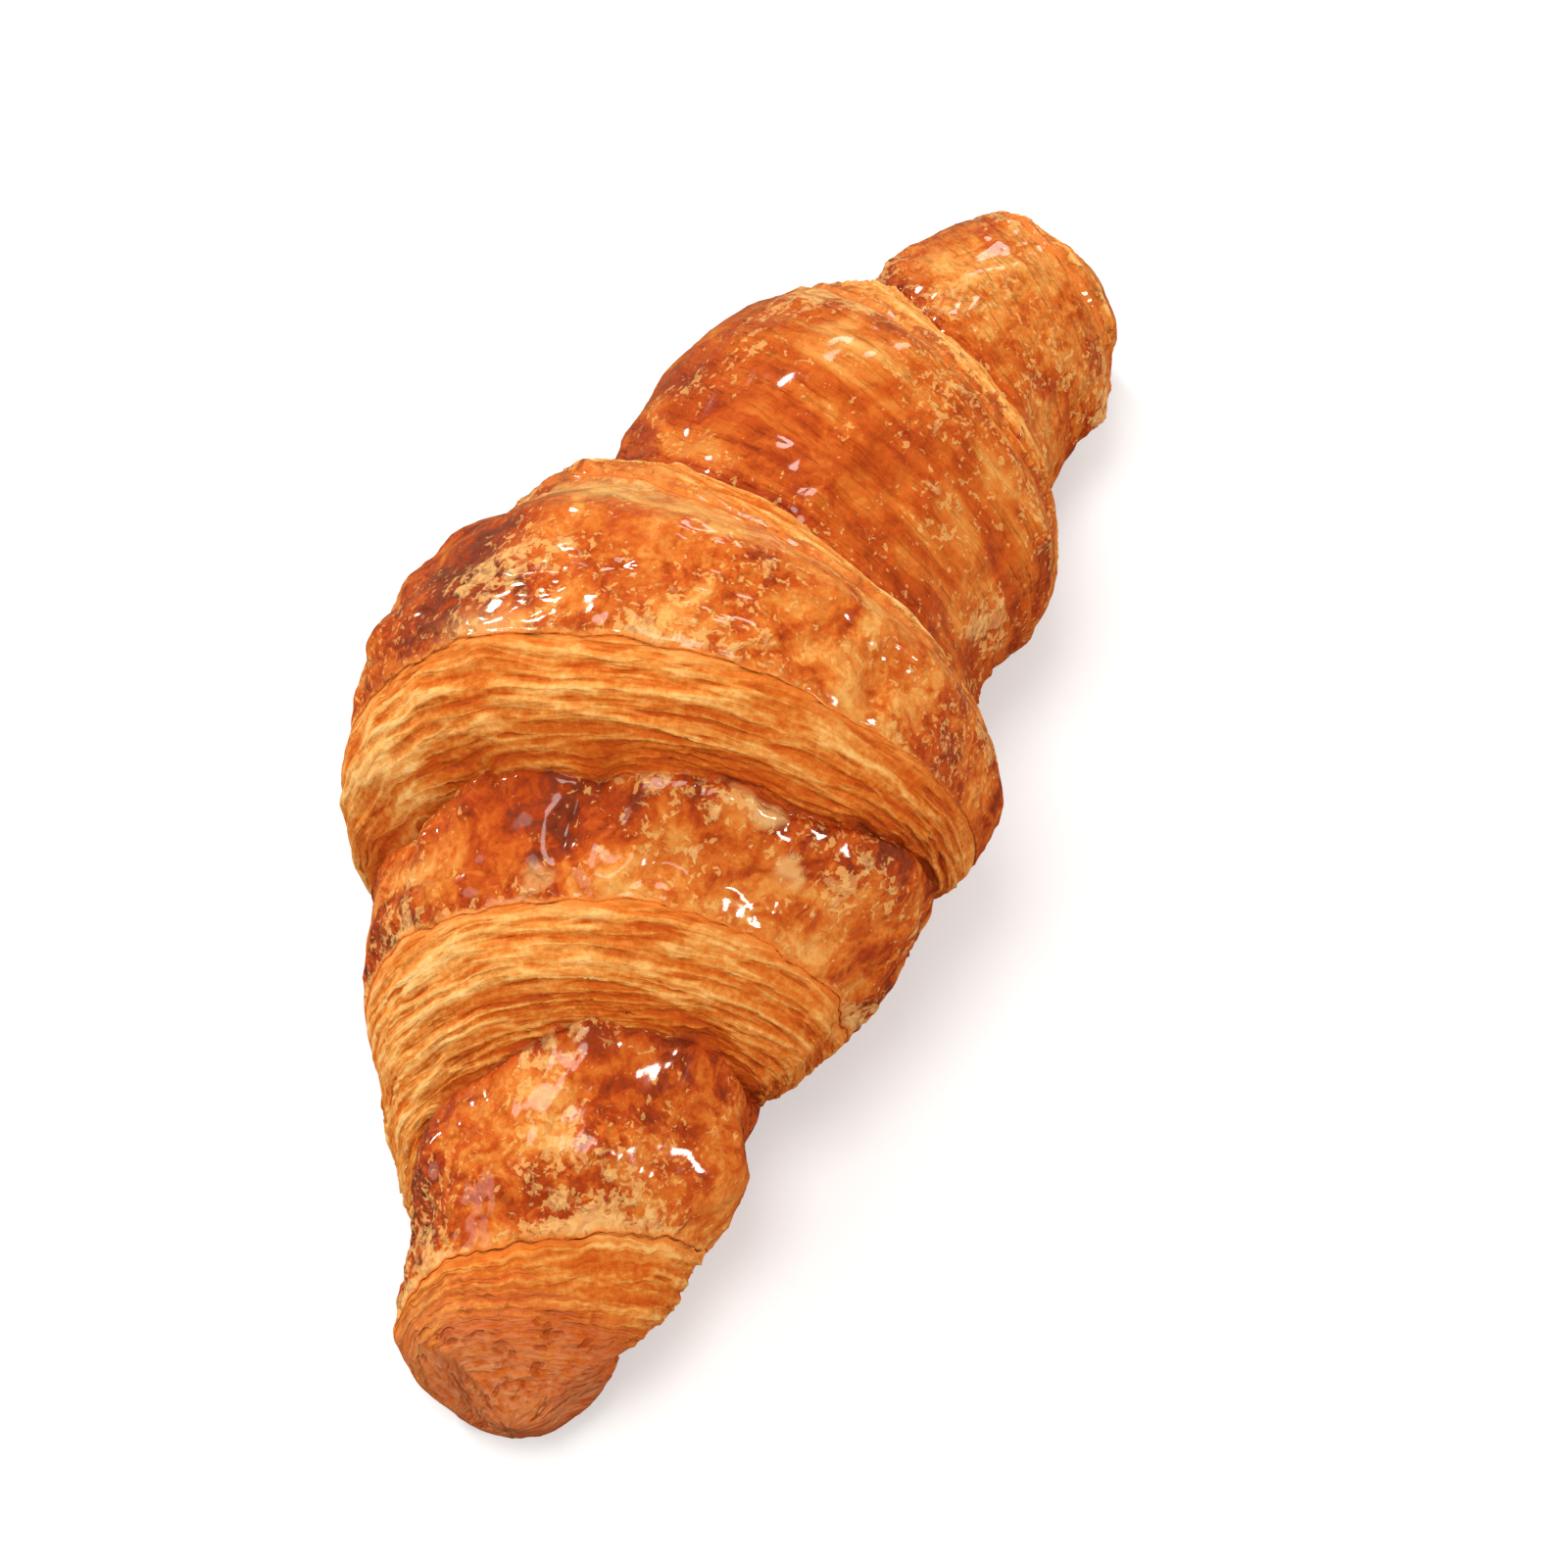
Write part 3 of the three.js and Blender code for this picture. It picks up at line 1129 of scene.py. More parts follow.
@dataclass(frozen=True)
class Flaking:
    """Pale flakes of the thin top skin, which lie in clusters, in millimetres.

    Attributes:
        size: Size of a flake.
        crumb: Size of the crumbs among them.
        cluster: Size of a cluster.
        level: How high the fields must stand for a flake to show.
    """

    size: float = 2.5
    crumb: float = 1.1
    cluster: float = 14.0
    level: float = 0.7

    def patches(self, place: Field, near_rim: Field) -> tuple[Field, Field]:
        """Finds the flakes.

        Args:
            place: Place on the raw form.
            near_rim: How close the rim is, 0 to 1. There are more flakes there.

        Returns:
            A field that is above 0 on a flake and one that is above 0 on a crumb.
        """
        wanted = place.noise(self.cluster, 2.0, 0.45) * 0.9 + near_rim * 0.62 - self.level
        large = place.noise(self.size, 4.0, 0.58, 0.6)
        small = place.noise(self.crumb, 2.0, 0.6, 0.3)
        return large * 0.9 + wanted, small + wanted * 0.7


@dataclass(frozen=True)
class Blister:
    """Round blisters of one size in the glazed skin.

    Attributes:
        size: Distance from blister to blister, in millimetres.
        share: Share of the places that hold one.
        widths: Radius of the smallest and the largest, as a share of the size.
        wobble: How far they are bent out of round, as a share of the size.
    """

    size: float
    share: float
    widths: tuple[float, float] = (0.28, 0.5)
    wobble: float = 0.35

    def domes(self, place: Field) -> Field:
        """Finds the blisters.

        Args:
            place: Place on the raw form.

        Returns:
            The height of each dome, 0 to 1.
        """
        wires = place.wires
        noise = {"Vector": place, "Scale": 1.3 / self.size}
        bend = wires.fed(wires.node("ShaderNodeTexNoise"), noise, "Color")
        bend = wires.vector("SUBTRACT", bend, (0.5, 0.5, 0.5))
        bend = wires.vector("SCALE", bend, self.size * self.wobble)
        cell = wires.node("ShaderNodeTexVoronoi", feature="F1")
        wires.feed(cell, {"Vector": wires.vector("ADD", place, bend), "Scale": 1.0 / self.size})
        found = wires.outputs(cell)
        choice, width, _ = found["Color"].split()
        near = found["Distance"].span(width.span(0.0, 1.0, *self.widths), 0.0)
        return wires.math("LESS_THAN", choice, self.share) * near


# Relief


@dataclass
class ReliefTree:
    """The geometry tree that raises lumps, layers, blisters and wrinkles on the raw form.

    Attributes:
        heights: The tree's number inputs, all in millimetres: how high each kind of relief stands, and how
            softly the base rounds off on the floor.
        lamination: The layers of the bare bands.
        flaking: The flakes of the skin.
        large: The large blisters.
        small: The small ones.
    """

    heights: Mapping[str, float] = field(
        default_factory=lambda: {
            "Lumps": 0.9,
            "Layers": 0.7,
            "Blisters": 0.7,
            "Buckles": 0.34,
            "Valleys": -0.5,
            "Wrinkles": 0.42,
            "Flakes": 0.12,
            "Base rounding": 0.9,
        }
    )
    lamination: Lamination = Lamination()
    flaking: Flaking = Flaking()
    large: Blister = Blister(9.0, 0.35)
    small: Blister = Blister(3.4, 0.4)

    def build(self) -> bpy.types.NodeTree:
        """Makes the tree.

        Returns:
            The tree, with a named input for each height and one for the finish.
        """
        tree = bpy.data.node_groups.new("Crust relief", "GeometryNodeTree")
        tree.interface.new_socket("Geometry", in_out="INPUT", socket_type="NodeSocketGeometry")
        for name in self.heights:
            tree.interface.new_socket(name, in_out="INPUT", socket_type="NodeSocketFloat")
        tree.interface.new_socket("Finish", in_out="INPUT", socket_type="NodeSocketMaterial")
        tree.interface.new_socket("Geometry", in_out="OUTPUT", socket_type="NodeSocketGeometry")
        wires = Wires(tree)
        given = wires.outputs(wires.node("NodeGroupInput"))
        place, outward, sheet = (wires.read(name, vector=True) for name in ("rest", "out", "sheet"))
        bare, calm, along = (wires.read(name) for name in ("bare", "calm", "along"))
        free = place.split()[2].span(0.5, 7.0) * (1.0 - calm)
        out = self.swelling(given, place, sheet, along, 1.0 - bare) * free
        out = out + (place.noise(17.0, 1.0) * 0.8 + place.noise(7.0, 1.0) * 0.28) * given["Lumps"]
        layered = self.layers(sheet, along) * given["Layers"] * bare * free

        normal = wires.fed(wires.node("GeometryNodeInputNormal"), {})
        position = wires.fed(wires.node("GeometryNodeInputPosition"), {})
        push = wires.vector("SCALE", outward, out * MM)
        push = wires.vector("ADD", push, wires.vector("SCALE", normal, layered * MM))
        x, y, z = wires.vector("ADD", position, push).split()
        resting = wires.join(x, y, wires.math("SMOOTH_MAX", z, 0.0, given["Base rounding"] * MM))
        shaped = wires.node("GeometryNodeSetPosition")
        shaped = wires.fed(shaped, {"Geometry": given["Geometry"], "Position": resting})
        real = wires.fed(wires.node("GeometryNodeRealizeInstances"), {0: shaped})
        dressed = wires.node("GeometryNodeSetMaterial")
        dressed = wires.fed(dressed, {"Geometry": real, "Material": given["Finish"]})
        wires.feed(wires.node("NodeGroupOutput"), {0: dressed})
        return tree

    def swelling(
        self, given: Mapping[str, Field], place: Field, sheet: Field, along: Field, crust: Field
    ) -> Field:
        """Raises blisters, wrinkles, buckles, flakes and valleys.

        Args:
            given: The tree's inputs.
            place: Place on the raw form.
            sheet: Distance along the rim and away from it.
            along: Place along the spine.
            crust: 1 on the glazed skin and 0 on the bare layers.

        Returns:
            The height, in millimetres.
        """
        domes = self.large.domes(place) + self.small.domes(place) * 0.45
        folded = place.noise(24.0, 1.0).span(-0.4, 0.8) * along.span(12.0, 24.0, 0.7, 1.5)
        wrinkles = sheet.noise((16.0, 2.6, HALVES_APART), 2.0, 0.5, 0.3) * folded
        valleys = abs(place.noise(11.0, 2.0, 0.4, 0.6)).span(0.22, 0.0)
        valleys = valleys * place.noise(19.0, 1.0).span(-0.1, 0.7)
        flakes = self.flaking.patches(place, place.wires.read("edge"))[0].span(-0.06, 0.08)
        crumpled = place.wires.math("MAXIMUM", crust, along.span(*NEAR_TIP))
        buckles = place.noise(4.2, 2.0, 0.5, 0.5) * crumpled
        on_skin = domes * given["Blisters"] + wrinkles * given["Wrinkles"]
        on_skin = on_skin + flakes * given["Flakes"] + valleys * given["Valleys"]
        return on_skin * crust + buckles * given["Buckles"]

    def layers(self, sheet: Field, along: Field) -> Field:
        """The height of the bare layers, lower on the tip, around zero.

        Args:
            sheet: Distance along the rim and away from it.
            along: Place along the spine.

        Returns:
            The height, as a share of the relief.
        """
        ridge, tone = self.lamination.lines(sheet)
        broken = sheet.noise((7.0, 3.0, HALVES_APART), 1.0).span(-1.0, 0.8, 0.4, 1.3)
        return (ridge + tone * 0.35 - 0.7) * broken * along.span(-78.0, -68.0, 0.3, 1.0)


def grown(source: bpy.types.Object, tree: bpy.types.NodeTree, inputs: Mapping[str, Any]) -> bpy.types.Object:
    """Runs a geometry tree on an object and keeps the result as a plain mesh.

    Args:
        source: The object that the tree grows on. It is used up.
        tree: The geometry tree.
        inputs: The tree's inputs by name.

    Returns:
        A new object at the origin, with no modifier.
    """
    modifier = source.modifiers.new("Grow", "NODES")
    modifier.node_group = tree
    for item in tree.interface.items_tree:
        if item.in_out == "INPUT" and item.name in inputs:
            modifier[item.identifier] = inputs[item.name]
    graph = bpy.context.evaluated_depsgraph_get()
    ready = source.evaluated_get(graph)
    mesh = bpy.data.meshes.new_from_object(ready, preserve_all_data_layers=True, depsgraph=graph)
    name, old = source.name, source.data
    source.modifiers.remove(modifier)
    bpy.data.objects.remove(source)
    bpy.data.meshes.remove(old)
    mesh.name = name
    return linked(name, mesh)


# Finish


@dataclass
class Ground:
    """What every part of the finish starts from: values of the mesh, and the unevenness of baking.

    Attributes:
        wires: The material's tree.
        place: Place on the raw form.
        sheet: Distance along the rim and away from it.
        along: Place along the spine.
        edge: 1 at the rim ahead, falling away from it.
        hollow: How deep a point lies in a crease or dent; the finish darkens it there as painted shade.
        top: How far the surface faces up, -1 to 1.
        shoulder: 1 on the outer shoulder, where the skin bakes darkest and the bare layers are painted
            lighter as painted light.
        ring: 1 on the stretched ring beyond the far rim.
        fine_drawn: Fine streaks, drawn out along the rim.
        broad: Unevenness over centimetres.
        patchy: Unevenness in patches of a centimetre.
        island: Unevenness in ragged islands.
        grain: The finest unevenness.
    """

    wires: Wires
    place: Field
    sheet: Field
    along: Field
    edge: Field
    hollow: Field
    top: Field
    shoulder: Field
    ring: Field
    fine_drawn: Field
    broad: Field
    patchy: Field
    island: Field
    grain: Field


@dataclass(frozen=True)
class BakedCrust:
    """Egg-washed skin, bare layers, flaked patches and the dull underside, in one material.

    Attributes:
        name: The material's name.
        glaze_rough: Roughness of the egg wash.
        glaze_ior: How strongly it bends light.
        body_rough: Roughness of the skin under it.
        layer_rough: Roughness of the bare layers.
        base_rough: Roughness of the underside.
        body_shine: Strength of the reflection under the egg wash.
        lamination: The layers of the bare bands.
        flaking: The flakes of the skin.
    """

    name: str = "baked crust"
    glaze_rough: float = 0.1
    glaze_ior: float = 1.5
    body_rough: float = 0.52
    layer_rough: float = 0.55
    base_rough: float = 0.8
    body_shine: float = 0.05
    lamination: Lamination = Lamination()
    flaking: Flaking = Flaking()

    def mottle(self, given: Mapping[str, Field]) -> dict[str, Field]:
        """Uneven browning from broad to fine, around zero.

        Args:
            given: The group's inputs.

        Returns:
            The group's outputs, by name.
        """
        place = given["Place"]
        return {
            "Broad": place.noise(24.0, 1.0),
            "Patchy": place.noise(9.5, 3.0, 0.5, 0.8),
            "Island": place.noise(3.2, 4.0, 0.62, 0.7),
            "Grain": place.noise(0.8, 3.0, 0.7),
        }

    def layers(self, given: Mapping[str, Field]) -> dict[str, Field]:
        """The bare layers: ridge, tone, fibre and streak.

        Args:
            given: The group's inputs.

        Returns:
            The group's outputs, by name.
        """
        sheet = given["Sheet"]
        ridge, tone = self.lamination.lines(sheet)
        fibre = sheet.noise((2.8, 0.5, HALVES_APART), 3.0, 0.6, 0.15)
        streak = sheet.noise((12.0, 1.5, HALVES_APART), 3.0, 0.55, 0.2)
        return {"Ridge": ridge, "Tone": tone, "Fibre": fibre, "Streak": streak}

    def flakes(self, given: Mapping[str, Field]) -> dict[str, Field]:
        """The pale flakes, crumbs and specks of skin.

        Args:
            given: The group's inputs.

        Returns:
            The group's outputs, by name.
        """
        flake, crumb = self.flaking.patches(given["Place"], given["Near rim"])
        speck = given["Place"].noise(0.7, 1.0).span(0.44, 0.6)
        return {"Flake": flake.span(-0.08, 0.18), "Crumb": crumb.span(-0.04, 0.18), "Speck": speck}

    def grouped(
        self,
        wires: Wires,
        name: str,
        draw: Callable[[Mapping[str, Field]], dict[str, Field]],
        inputs: Mapping[str, Field],
    ) -> dict[str, Field]:
        """Makes a node group, places it in the material and feeds it.

        Args:
            wires: The material's tree.
            name: The group's name.
            draw: Draws the group's outputs, by name, from its inputs.
            inputs: What each input is fed. The ones named Place and Sheet are vectors.

        Returns:
            The group's outputs in the material, by name.
        """
        tree = bpy.data.node_groups.new(name, "ShaderNodeTree")
        for label in inputs:
            kind = "NodeSocketVector" if label in ("Place", "Sheet") else "NodeSocketFloat"
            tree.interface.new_socket(label, in_out="INPUT", socket_type=kind)
        inside = Wires(tree)
        drawn = draw(inside.outputs(inside.node("NodeGroupInput")))
        for label in drawn:
            tree.interface.new_socket(label, in_out="OUTPUT", socket_type="NodeSocketFloat")
        inside.feed(inside.node("NodeGroupOutput"), drawn)
        placed = wires.node("ShaderNodeGroup", node_tree=tree)
        wires.feed(placed, inputs)
        return wires.outputs(placed)

    def ground(self, wires: Wires) -> Ground:
        """Reads the mesh and draws the unevenness of baking.

        Args:
            wires: The material's tree.

        Returns:
            The ground.
        """
        place, sheet, outward = (wires.read(name, vector=True) for name in ("rest", "sheet", "out"))
        along = wires.read("along")
        _, outer, top = outward.split()
        mottle = self.grouped(wires, "Mottle", self.mottle, {"Place": place})
        return Ground(
            wires=wires,
            place=place,
            sheet=sheet,
            along=along,
            edge=wires.read("edge"),
            hollow=wires.read("hollow"),
            top=top,
            shoulder=outer.span(0.1, 0.7) * top.span(1.0, 0.6),
            ring=along.span(10.0, 18.0) * along.span(60.0, 54.0),
            fine_drawn=sheet.noise((8.0, 1.1, HALVES_APART), 2.0, 0.5, 0.4),
            **{label.lower(): value for label, value in mottle.items()},
        )

    def skin(self, on: Ground, flakes: Mapping[str, Field]) -> Field:
        """Colours the egg-washed skin, which is scorched darkest on the outer shoulder, with painted shade
        in creases and dents.

        Args:
            on: The ground.
            flakes: The pale flakes, crumbs and specks.

        Returns:
            The colour.
        """
        wires = on.wires
        drawn = on.sheet.noise((19.0, 3.2, HALVES_APART), 2.0, 0.45, 0.5)
        uneven = (on.broad + on.patchy).span(-0.5, 0.7, 0.5, 1.0) * wires.blend(on.ring, 1.0, 0.42)
        slim = abs(on.along).span(46.0, 56.0, 1.0, 0.6)
        # Each term is a share of the way from the palest skin to the most scorched; the hollow term is
        # painted shade.
        brown = (
            0.5
            + on.ring * 0.06
            + on.broad * 0.14
            + on.patchy * wires.blend(on.ring, 0.2, 0.1) * slim
            + on.patchy.span(0.0, 0.2) * on.along.span(*FAR_RING, 0.1, 0.02) * slim
            - on.patchy.span(-0.14, -0.34) * 0.1
            + on.ring * drawn * 0.24
            + on.ring * on.fine_drawn * 0.05
            + on.island.span(-0.16, 0.2, -0.5, 0.5) * uneven * 0.2
            + on.island * uneven * 0.16
            + on.grain * wires.blend(on.ring, 0.14, 0.06)
            + on.shoulder * 0.08
            - on.edge * 0.08
            # Painted shade in creases and dents.
            + on.hollow * 0.26
            + wires.read("baked")
        )
        stops = {
            0.0: Shade.HONEY,
            0.18: Shade.GOLD,
            0.38: Shade.AMBER,
            0.56: Shade.COPPER,
            0.78: Shade.RUST,
            1.0: Shade.PLUM,
        }
        skin = wires.ramp(brown, stops)
        pale = wires.tint(on.grain * 0.6 + 0.4, Shade.STRAW, Shade.CREAM)
        specked = (on.broad - on.patchy * 0.5).span(0.15, 0.6)
        skin = wires.tint(flakes["Speck"] * specked * 0.5, skin, Shade.STRAW)
        skin = wires.tint(flakes["Crumb"] * 0.62, skin, Shade.STRAW)
        skin = wires.tint(flakes["Flake"] * on.island.span(-0.4, 0.4, 0.64, 0.34), skin, pale)
        skin = wires.tint(wires.read("pale") * 0.8, skin, pale)
        torn = (on.patchy + on.island).span(-0.3, 0.5)
        frayed = (on.edge - on.island * 0.12).span(0.75, 0.93)
        return wires.tint(frayed * torn * 0.75, skin, Shade.GOLD)

    def stack(self, on: Ground, layers: Mapping[str, Field], pits: Field) -> Field:
        """Colours the bare layers: pale crests, deep grooves, painted shade towards the crease, painted
        light on the outer side, browner towards the tip.

        Args:
            on: The ground.
            layers: The ridge, tone, fibre and streak of the layers.
            pits: The pits of the near tip.

        Returns:
            The colour.
        """
        wires = on.wires
        # Each term is a share of the way from the palest crest to the darkest groove.
        depth = (
            0.74
            # Pale crests and dark grooves: partly the layers' own colour, partly painted highlight on the
            # crests and painted shade in the grooves.
            + layers["Ridge"] * on.along.span(-66.0, -78.0, -0.38, -0.14)
            - layers["Tone"] * 0.1
            + layers["Fibre"] * 0.13
            + layers["Streak"] * 0.12
            + on.grain * 0.14
            + on.broad * 0.07
            # Painted shade towards the crease.
            + on.hollow * 0.2
            # Painted light: the bare layers on the outer side are made paler.
            - on.shoulder * 0.13
            - on.along.span(-30.0, -40.0) * 0.05
            + on.along.span(-66.0, -80.0) * 0.15
            - on.along.span(0.0, 6.0) * 0.07
        )
        stops = {
            0.0: Shade.CREAM,
            0.2: Shade.STRAW,
            0.38: Shade.GOLD,
            0.55: Shade.AMBER,
            0.72: Shade.COPPER,
            0.88: Shade.EMBER,
            1.0: Shade.UMBER,
        }
        dusty = wires.math("MAXIMUM", layers["Fibre"] * 0.6 + 0.4 + on.island * 0.3, 0.0)
        stack = wires.tint(on.along.span(-70.0, -82.0) * dusty, wires.ramp(depth, stops), Shade.CRUMB)
        return wires.tint(pits * 0.6, stack, Shade.RUST)

    def build(self) -> bpy.types.Material:
        """Makes the material.

        Returns:
            The material.
        """
        material = bpy.data.materials.new(self.name)
        material.use_nodes = True
        material.node_tree.nodes.clear()
        wires = Wires(material.node_tree)
        on = self.ground(wires)
        layers = self.grouped(wires, "Bare layers", self.layers, {"Sheet": on.sheet})
        flakes = self.grouped(wires, "Flaked skin", self.flakes, {"Place": on.place, "Near rim": on.edge})

        # On the far side the skin hangs on raggedly past the rim, so its band is narrow.
        past_rim = on.sheet.split()[1] + on.island * 2.4 + on.patchy * 1.5
        kept = (1.0 - past_rim.span(1.1, 1.7)) * on.along.span(2.0, 5.0)
        bare = wires.read("bare") * (1.0 - kept * 0.9)
        under = (on.top + on.grain * 0.05).span(-0.25, -0.8)
        pits = on.sheet.noise((3.0, 1.5, HALVES_APART), 2.0, 0.55, 0.5).span(0.25, 0.8)
        pits = pits * on.along.span(-69.0, -77.0)

        colour = wires.tint(bare, self.skin(on, flakes), self.stack(on, layers, pits))
        colour = wires.tint(wires.read("brink") * 0.9, colour, Shade.BRINK)
        colour = wires.tint(under, colour, wires.tint(on.patchy + 0.5, Shade.TRAY, Shade.RUST))

        glazed = (1.0 - bare) * (1.0 - under) * (1.0 - flakes["Flake"] * 0.5)
        gloss = glazed * on.top.span(0.0, 0.75, 0.12, 1.0) * on.patchy.span(-1.0, 0.5, 0.6, 1.0)
        rough = wires.blend(bare, self.body_rough, self.layer_rough)
        rough = wires.blend(under, rough, self.base_rough) + on.grain * 0.04

        skin_relief = (
            on.grain * 0.05
            + on.place.noise(2.9, 2.0, 0.42) * 0.32
            + self.ripples(on) * on.shoulder.span(0.0, 0.6, 0.27, 0.38)
            + on.along.span(*FAR_RING) * on.fine_drawn * 0.3
            + flakes["Crumb"] * 0.06
            + flakes["Flake"] * 0.1
        )
        stack_relief = layers["Ridge"] * 0.25 + layers["Fibre"] * 0.12 - pits * 0.3
        bump = wires.node("ShaderNodeBump")
        relief = {"Height": wires.blend(bare, skin_relief, stack_relief), "Distance": MM, "Strength": 1.0}
        shader = wires.node("ShaderNodeBsdfPrincipled")
        sockets = {
            "Base Color": colour,
            "Roughness": rough,
            "Coat Weight": gloss,
            "Coat Roughness": self.glaze_rough,
            "Coat IOR": self.glaze_ior,
            "Specular IOR Level": self.body_shine,
            "Normal": wires.fed(bump, relief, "Normal"),
        }
        wires.feed(wires.node("ShaderNodeOutputMaterial"), {"Surface": wires.fed(shader, sockets)})
        return material

    def ripples(self, on: Ground) -> Field:
        """Fine ripples in patches of the egg wash, which break up its highlights."""
        rippled = (on.patchy + on.shoulder * 0.3).span(-0.25, 0.4)
        return on.place.noise(1.25, 1.0, 0.4) * rippled


# Pieces


@dataclass
class Crust:
    """The whole baked skin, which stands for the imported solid.

    Attributes:
        mesh: The raw form.
        relief: The tree that grows on it.
        finish: Its material.
    """

    mesh: CrustMesh = field(default_factory=CrustMesh)
    relief: ReliefTree = field(default_factory=ReliefTree)
    finish: BakedCrust = BakedCrust()

    def build(self) -> bpy.types.Object:
        """Makes the skin, with its relief in the mesh.

        Returns:
            The finished piece.
        """
        raw = self.mesh.build("crust")
        made = grown(raw, self.relief.build(), {**self.relief.heights, "Finish": self.finish.build()})
        made.data.shade_smooth()
        return made


# Studio


@dataclass(frozen=True)
class SoftLight:
    """One wide, even light from far away.

    Attributes:
        name: Its name.
        place: The way that it comes from.
        width: How wide it looks from the croissant, in degrees.
        power: Its power in watts on each square metre.
        colour: Its colour.
    """

    name: str
    place: tuple[float, float, float]
    width: float
    power: float
    colour: tuple[float, float, float] = (1.0, 0.96, 0.9)

    def hang(self) -> None:
        """Hangs the light."""
        lamp = bpy.data.lights.new(self.name, "SUN")
        lamp.angle = math.radians(self.width)
        lamp.energy = self.power
        lamp.color = self.colour
        made = linked(self.name, lamp)
        made.location = self.place
        made.rotation_mode = "QUATERNION"
        made.rotation_quaternion = (-Vector(self.place)).to_track_quat("-Z", "Y")


@dataclass(frozen=True)
class Studio:
    """White floor, soft lights and the camera.

    Attributes:
        azimuth: Where the camera stands round the croissant, in degrees.
        elevation: How high it stands, in degrees.
        roll: How far it is tipped, in degrees.
        distance: From the camera to what it looks at, in metres.
        lens: Its focal length, in millimetres.
        sensor: Width of its sensor, in millimetres.
        clip: The nearest and the farthest that it sees, in metres.
        aim: What it looks at, from the foot of the belly's middle, in metres.
        floor_side: Length of the floor's side, in metres.
        floor_gap: How far the floor lies below the croissant, in metres.
        floor_rough: Its roughness.
        floor_glow: Light of its own that the camera sees on it.
        white: Colour of its glow, and of the backdrop.
        floor_seen: Its colour to the camera.
        floor_bounce: Its colour in the light that it throws back on the croissant.
        floor_mirrored: Its colour where the glaze mirrors it.
        air_light: Colour of the room's light.
        air_mirrored: Colour of the room where the glaze mirrors it.
        fill: Strength of the room's light.
        backdrop: Strength of the backdrop that the camera sees.
        lights: The lights.
    """

    azimuth: float = -70.226
    elevation: float = 61.087
    roll: float = 3.473
    distance: float = 0.559
    lens: float = 109.7
    sensor: float = 36.0
    clip: tuple[float, float] = (0.05, 20.0)
    aim: tuple[float, float, float] = (0.0, -0.0107, 0.0172)
    floor_side: float = 6.0
    floor_gap: float = 0.0001
    floor_rough: float = 0.9
    floor_glow: float = 0.25
    white: Colour = (1.0, 1.0, 1.0, 1.0)
    floor_seen: Colour = (0.84, 0.88, 0.93, 1.0)
    floor_bounce: Colour = (0.5, 0.48, 0.45, 1.0)
    floor_mirrored: Colour = (0.16, 0.09, 0.05, 1.0)
    air_light: Colour = (1.0, 0.95, 0.88, 1.0)
    air_mirrored: Colour = (0.36, 0.2, 0.1, 1.0)
    fill: float = 0.5
    backdrop: float = 1.0
    lights: tuple[SoftLight, ...] = (
        SoftLight("key light", (0.3, 0.62, 0.46), 12.0, 1.5),
        SoftLight("top light", (-0.16, 0.12, 0.85), 24.0, 0.95),
        SoftLight("side light", (-0.05, -0.7, 0.5), 11.0, 1.15),
        SoftLight("tip light", (-0.6, 0.5, 0.35), 30.0, 0.5),
        SoftLight("low light", (0.05, 0.95, 0.17), 4.0, 0.35),
        SoftLight("far light", (0.92, 0.16, 0.37), 16.0, 0.5),
    )

    def camera(self, middle: Vector) -> None:
        """Sets up the camera.

        Args:
            middle: The middle of the belly's spine, on the floor.
        """
        azimuth, elevation, roll = (math.radians(a) for a in (self.azimuth, self.elevation, self.roll))
        level = Vector((math.cos(azimuth), math.sin(azimuth), 0.0))
        flat_back = Vector((math.sin(azimuth), -math.cos(azimuth), 0.0))
        back = flat_back * math.cos(elevation) + Vector((0.0, 0.0, math.sin(elevation)))
        upright = back.cross(level)
        right = level * math.cos(roll) + upright * math.sin(roll)
        up = upright * math.cos(roll) - level * math.sin(roll)
        data = bpy.data.cameras.new("camera")
        data.lens = self.lens
        data.sensor_width = self.sensor
        data.clip_start, data.clip_end = self.clip
        made = linked("camera", data)
        turned = Matrix((right, up, back)).transposed().to_4x4()
        made.matrix_world = Matrix.Translation(middle + Vector(self.aim) + back * self.distance) @ turned
        bpy.context.scene.camera = made

    def seen_or_mirrored(
        self, wires: Wires, seen: Colour, mirrored: Colour, other: Colour
    ) -> tuple[Field, Field]:
        """Colours something for the camera, for the glaze that mirrors it, and for the light it throws.

        Args:
            wires: The tree to add to.
            seen: Its colour to the camera.
            mirrored: Its colour where it is mirrored.
            other: Its colour otherwise.

        Returns:
            The colour, and 1 where the camera sees it.
        """
        rays = wires.outputs(wires.node("ShaderNodeLightPath"))
        unseen = wires.tint(rays["Is Glossy Ray"], other, mirrored)
        return wires.tint(rays["Is Camera Ray"], unseen, seen), rays["Is Camera Ray"]

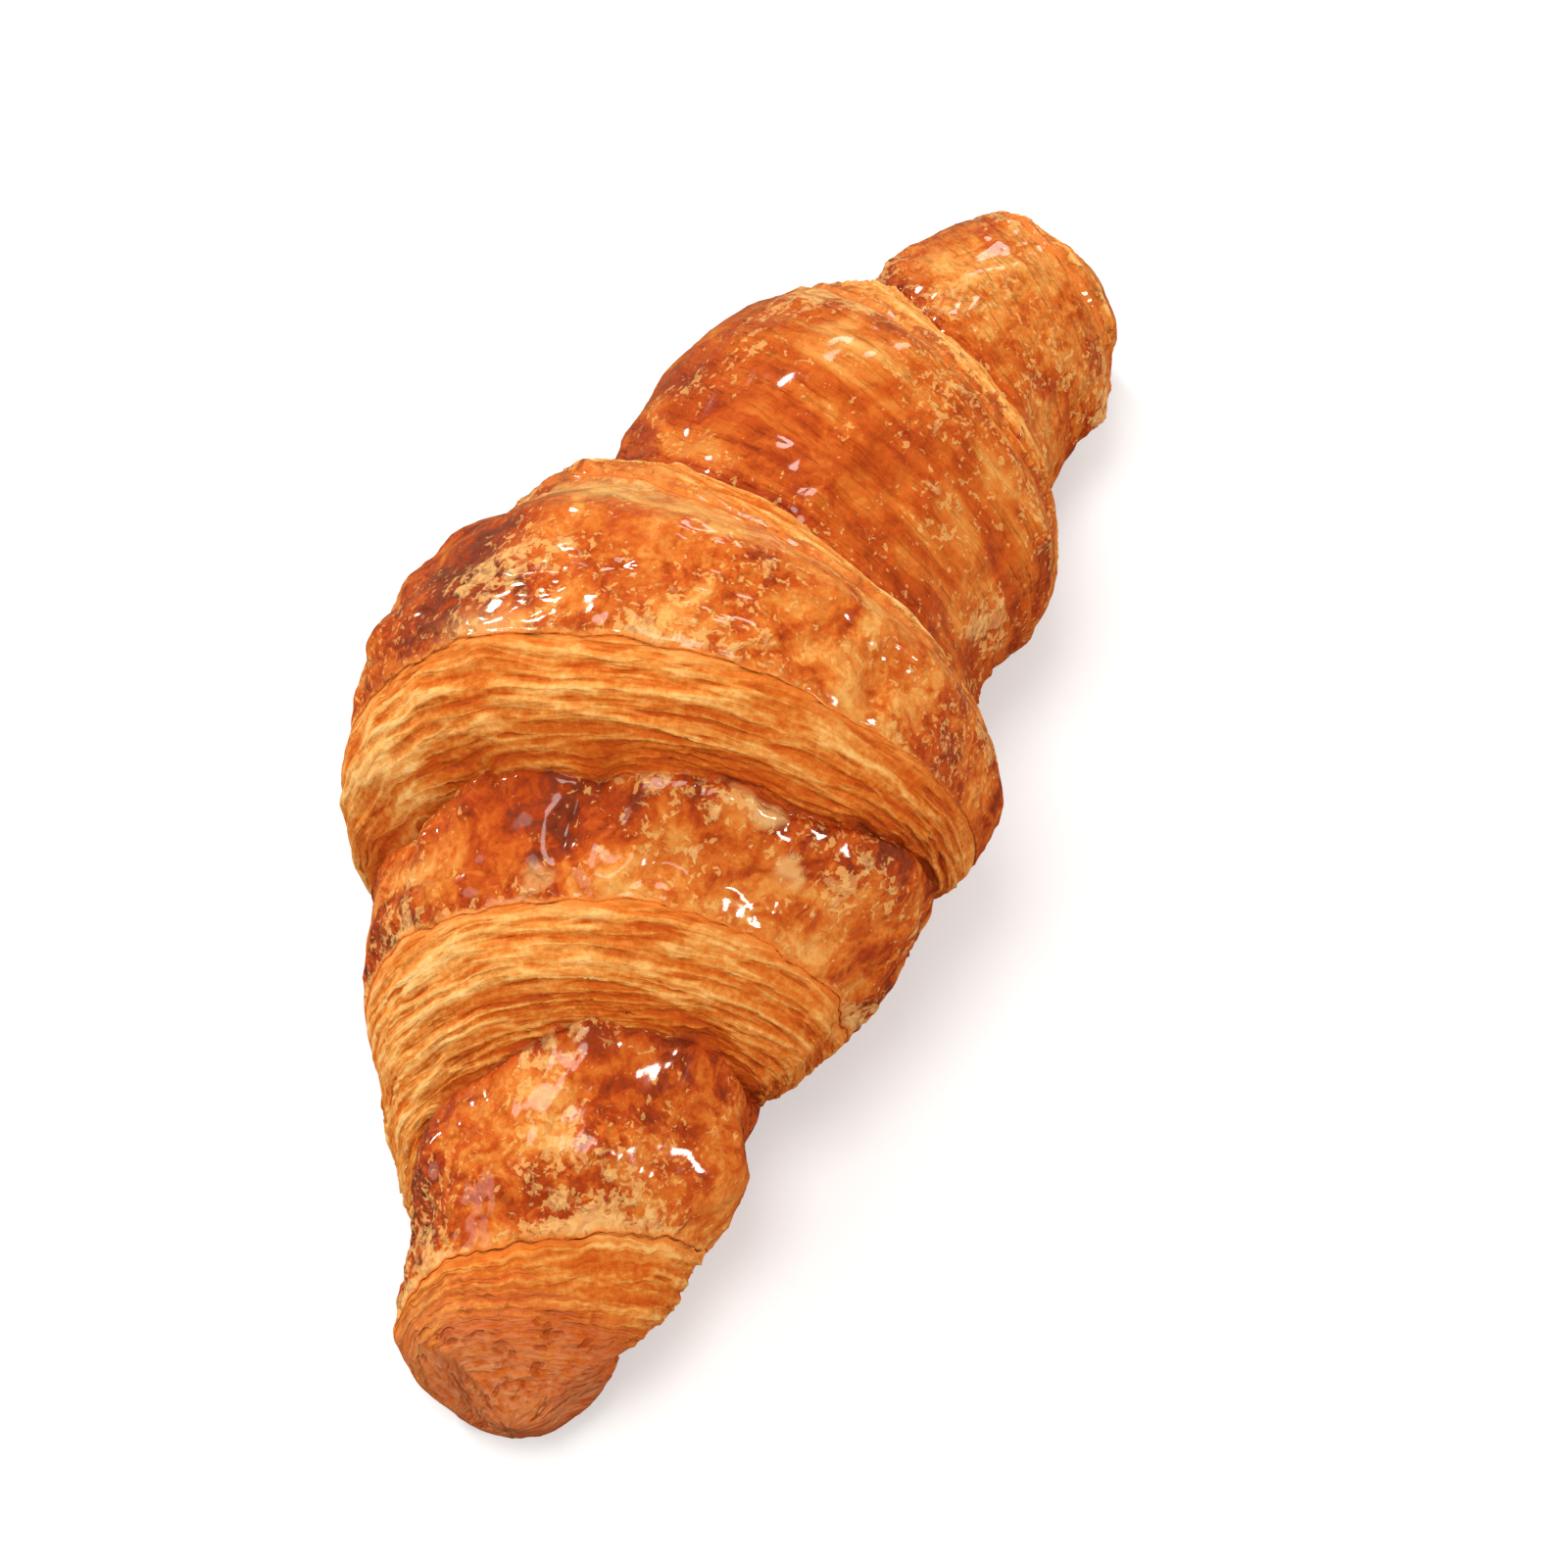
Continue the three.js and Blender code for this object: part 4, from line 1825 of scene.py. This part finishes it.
    def floor(self) -> None:
        """Lays the white floor."""
        half = self.floor_side / 2
        corners = [(-half, -half), (half, -half), (half, half), (-half, half)]
        mesh = bpy.data.meshes.new("floor")
        mesh.from_pydata([(x, y, -self.floor_gap) for x, y in corners], [], [(0, 1, 2, 3)])
        material = bpy.data.materials.new("white floor")
        material.use_nodes = True
        wires = Wires(material.node_tree)
        colour, seen = self.seen_or_mirrored(wires, self.floor_seen, self.floor_mirrored, self.floor_bounce)
        sockets = {
            "Base Color": colour,
            "Roughness": self.floor_rough,
            "Emission Color": self.white,
            "Emission Strength": seen * self.floor_glow,
        }
        wires.feed(material.node_tree.nodes["Principled BSDF"], sockets)
        mesh.materials.append(material)
        linked("floor", mesh)

    def air(self) -> None:
        """Fills the room with pale light, and shows a white backdrop."""
        world = bpy.data.worlds.new("white room")
        world.use_nodes = True
        bpy.context.scene.world = world
        world.node_tree.nodes.clear()
        wires = Wires(world.node_tree)
        colour, seen = self.seen_or_mirrored(wires, self.white, self.air_mirrored, self.air_light)
        strength = wires.blend(seen, self.fill, self.backdrop)
        background = wires.fed(wires.node("ShaderNodeBackground"), {"Color": colour, "Strength": strength})
        wires.feed(wires.node("ShaderNodeOutputWorld"), {"Surface": background})

    def build(self, middle: Vector) -> None:
        """Sets everything up.

        Args:
            middle: The middle of the belly's spine, on the floor.
        """
        self.camera(middle)
        self.floor()
        self.air()
        for light in self.lights:
            light.hang()
        bpy.context.scene.view_settings.view_transform = "Standard"
        bpy.context.scene.view_settings.look = "None"


def clear_scene() -> None:
    """Removes the objects that a new file starts with, and keeps the frame."""
    kept = {held.name for held in [*frame["nodes"].values(), *frame["bodies"].values()]}
    for found in list(bpy.context.scene.objects):
        if found.name not in kept and found.name in ("Cube", "Light", "Camera"):
            bpy.data.objects.remove(found)


def main() -> None:
    """Builds the croissant and its studio."""
    clear_scene()
    skin = Crust()
    crust = skin.build()
    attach(crust, BODY)
    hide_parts(NODE)
    LOG.info("%s: %d faces", crust.name, len(crust.data.polygons))
    Studio().build(skin.mesh.spine_middle)


if __name__ == "__main__":
    main()
